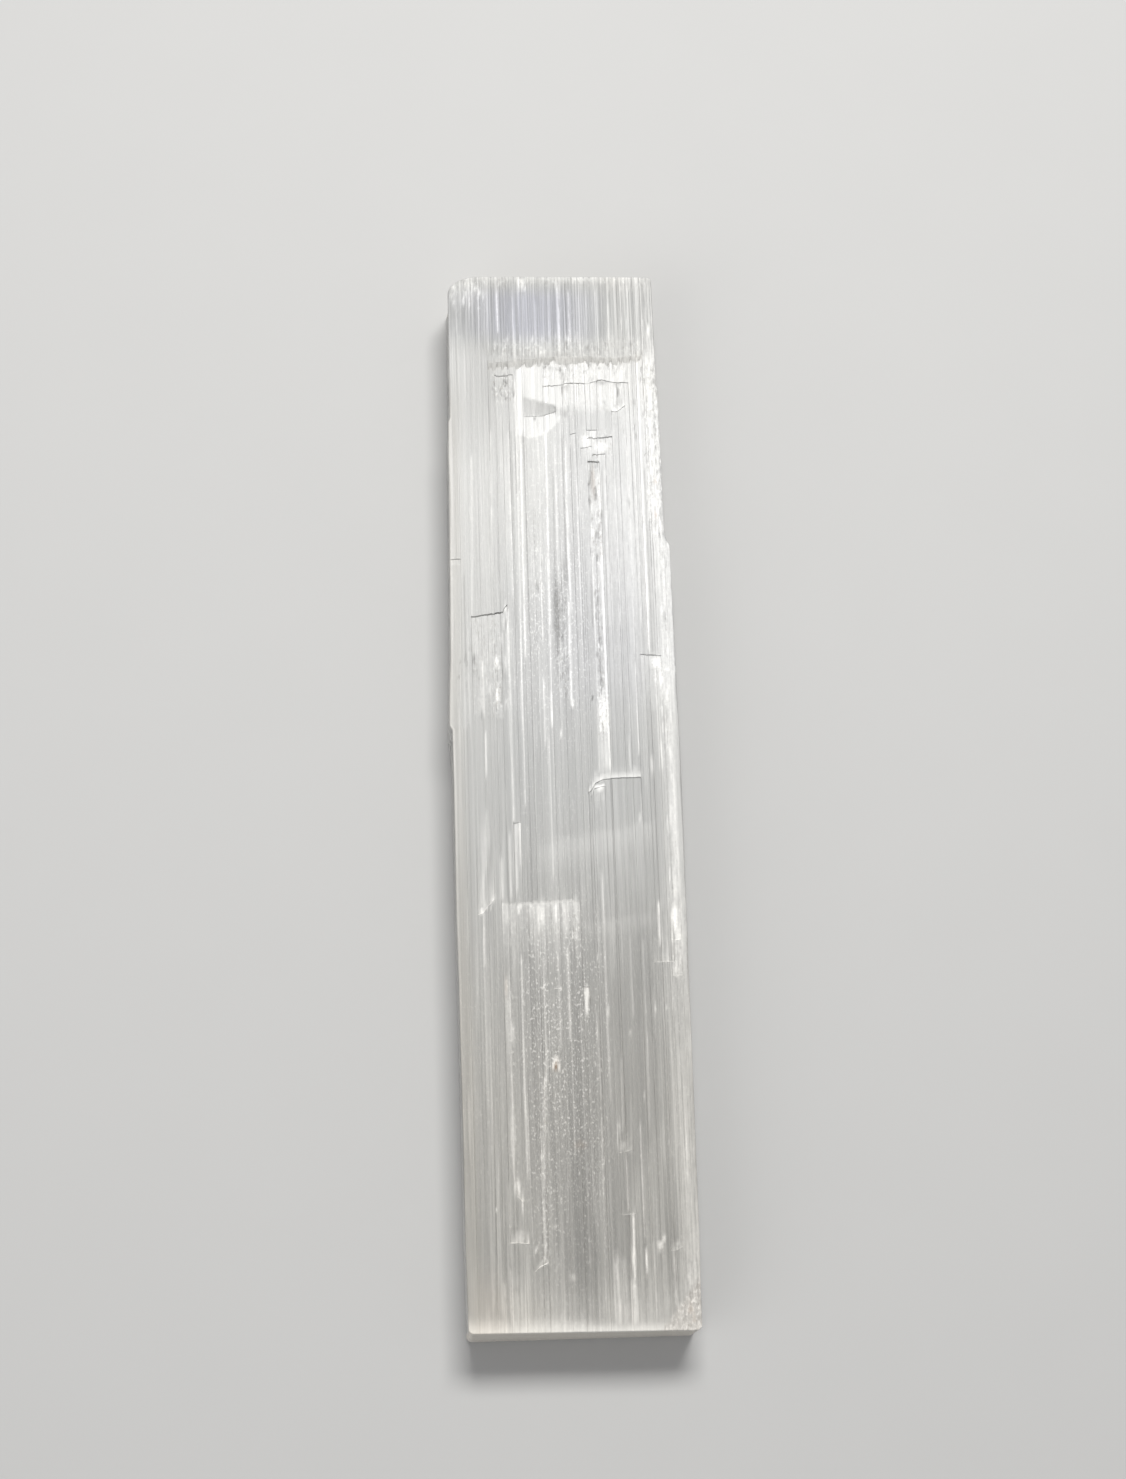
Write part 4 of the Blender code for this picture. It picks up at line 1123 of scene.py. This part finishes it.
def makeSpar():
    g = Graph("satinSpar")
    place = g.add("ShaderNodeTexCoord", out=3)  # the object's own coordinates

    def stretched(width, length, detail, shift):
        scaled = g.vector("MULTIPLY", place, (1000 / width, 1000 / length, 1000 / width))
        moved = g.vector("ADD", scaled, (shift, shift, shift))
        return g.add("ShaderNodeTexNoise", {}, {"Vector": moved, "Scale": 1.0, "Detail": detail})

    def streaks(name):
        usual, ifRubbed = spar["streaks"][name]
        return (noise[name] - 0.5) * (rubbed * ifRubbed + usual)

    def tinted(colour, share):
        # colder where coolness is above 0, and warmer where it is below
        tint = coolness * share
        cold = g.mix(g.range(tint, 0.0, 1.0, "LINEAR"), colour, spar["cool"], "MULTIPLY")
        return g.mix(g.range(tint, 0.0, -1.0, "LINEAR"), cold, spar["warm"], "MULTIPLY")

    # darkens a colour towards the shade colour, by dim and by the walls' painted shade, then towards dirt
    # between the crumbs
    def shadedAndSoiled(colour):
        return g.mix(gaps * spar["dirtInGaps"], g.mix(shade, colour, spar["shaded"]), spar["dirt"])

    def rusted(colour):
        return g.mix(stained, colour, spar["stain"])

    noise = {name: stretched(*size) for name, size in spar["fibres"].items()}
    grain = g.add("ShaderNodeTexNoise", {}, {"Vector": place, **spar["grain"]})
    milk, fresh, dim = g.attribute("milk"), g.attribute("fresh"), g.attribute("dim")
    sawn, wall, crumbly = g.attribute("sawn"), g.attribute("wall"), g.attribute("crumbly")
    rubbed, coolness = g.attribute("rubbed"), g.attribute("cool")
    streaky, stained = g.attribute("streaky"), g.attribute("stained")

    # threads, crumbs and specks stand out of their noises
    threads = g.range(noise["threads"], 0.60, 0.74)
    fineThreads = g.range(noise["fineThreads"], 0.55, 0.70)
    specks = g.range(noise["specks"], 0.63, 0.76) * g.attribute("dusty")
    paleCrumbs = crumbly * g.range(noise["crumbs"], 0.54, 0.68)
    gaps = crumbly * g.range(noise["crumbs"], 0.42, 0.30)

    part = spar["whitening"]
    fineThreads = fineThreads * (rubbed * part["rubbedThreads"] + part["fineThreads"])
    whiteness = threads * part["threads"] + fineThreads + specks * part["specks"]
    whiteness = whiteness + paleCrumbs * part["crumbs"] + sawn * part["sawn"]
    part = spar["splinters"]
    splinters = (noise["fine"] - 0.5) * part["fine"] + (noise["dashes"] - 0.5) * part["dashes"]
    splinters = (splinters + (grain - 0.5) * part["grain"]) * streaky + part["all"]
    whiteness = whiteness + milk * splinters + g.range(wall, 0.0, 1.0, "LINEAR")
    whiteness = g.range(whiteness, 0.0, 1.0, "LINEAR")
    # darkening: painted shade on the walls of the broken lines where wall is negative, and the dim places
    shade = dim * spar["shadeOfDim"] + g.range(wall, 0.0, -1.0, "LINEAR") * spar["shadeOfWall"]
    shade = g.range(shade, 0.0, 1.0, "LINEAR")

    silkiness = (streaks("hair") + streaks("fine") + streaks("middling")) * streaky
    silkiness = g.range(silkiness + (noise["broad"] - 0.5) * spar["broadStreaks"] + 0.5, 0.12, 0.88)
    silk = tinted(g.mix(silkiness, spar["clear"], spar["silk"]), 1.0)
    silk = rusted(shadedAndSoiled(g.mix(sawn * spar["sawnOfSilk"], silk, spar["sawn"])))
    white = tinted(g.mix(sawn * spar["sawnOfWhite"], spar["white"], spar["sawn"]), spar["tintOfWhite"])
    white = shadedAndSoiled(rusted(white))

    part = spar["roughening"]
    rough = spar["roughness"] + fresh * (spar["freshRoughness"] - spar["roughness"])
    rough = rough + (noise["fine"] - 0.5) * part["fine"] + sawn * part["sawn"]
    rough = rough + rubbed * part["rubbed"] + dim * part["dim"]
    part = spar["height"]
    height = noise["fine"] * part["fine"] + noise["hair"] * part["hair"]
    height = height + noise["middling"] * part["middling"] + noise["crumbs"] * crumbly * part["crumbs"]
    part = spar["grainHeight"]
    height = height + grain * (milk * part["milk"] + sawn * part["sawn"] + part["all"])
    bump = g.add("ShaderNodeBump", {}, {"Strength": 1.0, "Distance": spar["relief"], "Height": height})
    clear = g.shader({
        "Base Color": silk,
        "Roughness": rough,
        "IOR": spar["ior"],
        "Transmission Weight": spar["transmission"],
        "Normal": bump,
    })
    chalky = g.shader({
        "Base Color": white,
        "Roughness": spar["whiteRoughness"],
        "IOR": spar["ior"],
        "Normal": bump,
    })
    surface = g.add("ShaderNodeMixShader", {}, {0: whiteness, 1: clear, 2: chalky})
    inside = {"Color": spar["depthTint"], "Density": spar["absorption"]}
    return g.finish(Surface=surface, Volume=g.add("ShaderNodeVolumeAbsorption", {}, inside))


print("blade: mesh")
piece = makeBlade()
piece.data.materials.append(makeSpar())
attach(piece, "root")
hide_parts("blade")
print(f"  {sum(len(face.vertices) - 2 for face in piece.data.polygons)} triangles")

stage = {
    "floor": (0.43, 0.43, 0.425, 1),
    "mottle": (0.48, 0.48, 0.475, 1),
    "mottleShare": 0.2,
    "mottles": {"Scale": 60.0, "Detail": 3.0},
    "farFloor": (0.97, 0.97, 0.97, 1),  # paler where the lamps don't reach, so that it meets the world evenly
    "fade": (0.2, 1.2),  # metres from the blade
    "floorRoughness": 0.7,
    "floorSize": 6.0,
    "floorGap": 0.0001,  # just below the blade, so that the two faces don't meet
    "world": (0.86, 0.86, 0.88, 1),
    "worldStrength": 0.42,
}

# lights: place, size, power, colour, and the place each one is turned to
lamps = {
    "window": dict(
        at=(0.06, 0.36, 0.66), size=(0.34, 0.20), power=6.3, colour=(1.0, 0.99, 0.97), to=(0.0, 0.045, 0.009),
    ),
    "fill": dict(at=(-0.62, -0.42, 0.5), size=(0.7, 0.7), power=2.4, colour=(1.0, 0.99, 0.98), to=(0, 0, 0)),
}

camera = {
    "focal": 2400.0,  # in pixels of the full frame
    "frame": (1126, 1479),
    "sensor": 36.0,
    "nearest": 0.01,
    "at": (-0.0260, -0.0870, 0.3251),
    "turn": (16.28, -4.101, -1.875),  # degrees about X, Y and Z
}


def makeFloor():
    half, down = stage["floorSize"] / 2, -stage["floorGap"]
    mesh = bpy.data.meshes.new("floor")
    sheet = [(-half, -half, down), (half, -half, down), (half, half, down), (-half, half, down)]
    mesh.from_pydata(sheet, [], [(0, 1, 2, 3)])
    floor = bpy.data.objects.new("floor", mesh)
    bpy.context.scene.collection.objects.link(floor)
    g = Graph("paleFloor")
    place = g.add("ShaderNodeTexCoord", out=3)
    mottle = g.add("ShaderNodeTexNoise", {}, {"Vector": place, **stage["mottles"]})
    away = g.add("ShaderNodeVectorMath", {"operation": "LENGTH"}, {0: place}, out=1)
    near = g.mix(mottle * stage["mottleShare"], stage["floor"], stage["mottle"])
    colour = g.mix(g.range(away, *stage["fade"]), near, stage["farFloor"])
    surface = g.shader({"Base Color": colour, "Roughness": stage["floorRoughness"]})
    mesh.materials.append(g.finish(Surface=surface))


def makeLamps():
    for name, lamp in lamps.items():
        light = bpy.data.lights.new(name, "AREA")
        light.shape = "RECTANGLE"
        light.size, light.size_y = lamp["size"]
        light.energy = lamp["power"]
        light.color = lamp["colour"]
        holder = bpy.data.objects.new(name, light)
        holder.location = lamp["at"]
        aim = Vector(lamp["to"]) - Vector(lamp["at"])
        holder.rotation_euler = aim.to_track_quat("-Z", "Y").to_euler()
        bpy.context.scene.collection.objects.link(holder)
    world = bpy.data.worlds.new("studio")
    world.use_nodes = True
    back = world.node_tree.nodes["Background"]
    back.inputs["Color"].default_value = stage["world"]
    back.inputs["Strength"].default_value = stage["worldStrength"]
    bpy.context.scene.world = world


def makeCamera():
    lens = bpy.data.cameras.new("camera")
    lens.sensor_width = camera["sensor"]
    lens.lens = camera["sensor"] * camera["focal"] / max(camera["frame"])
    lens.clip_start = camera["nearest"]
    view = bpy.data.objects.new("camera", lens)
    view.location = camera["at"]
    view.rotation_euler = [math.radians(turn) for turn in camera["turn"]]
    bpy.context.scene.collection.objects.link(view)
    bpy.context.scene.camera = view


print("stage: floor, lights and camera")
makeFloor()
makeLamps()
makeCamera()
bpy.context.scene.view_settings.view_transform = "Standard"
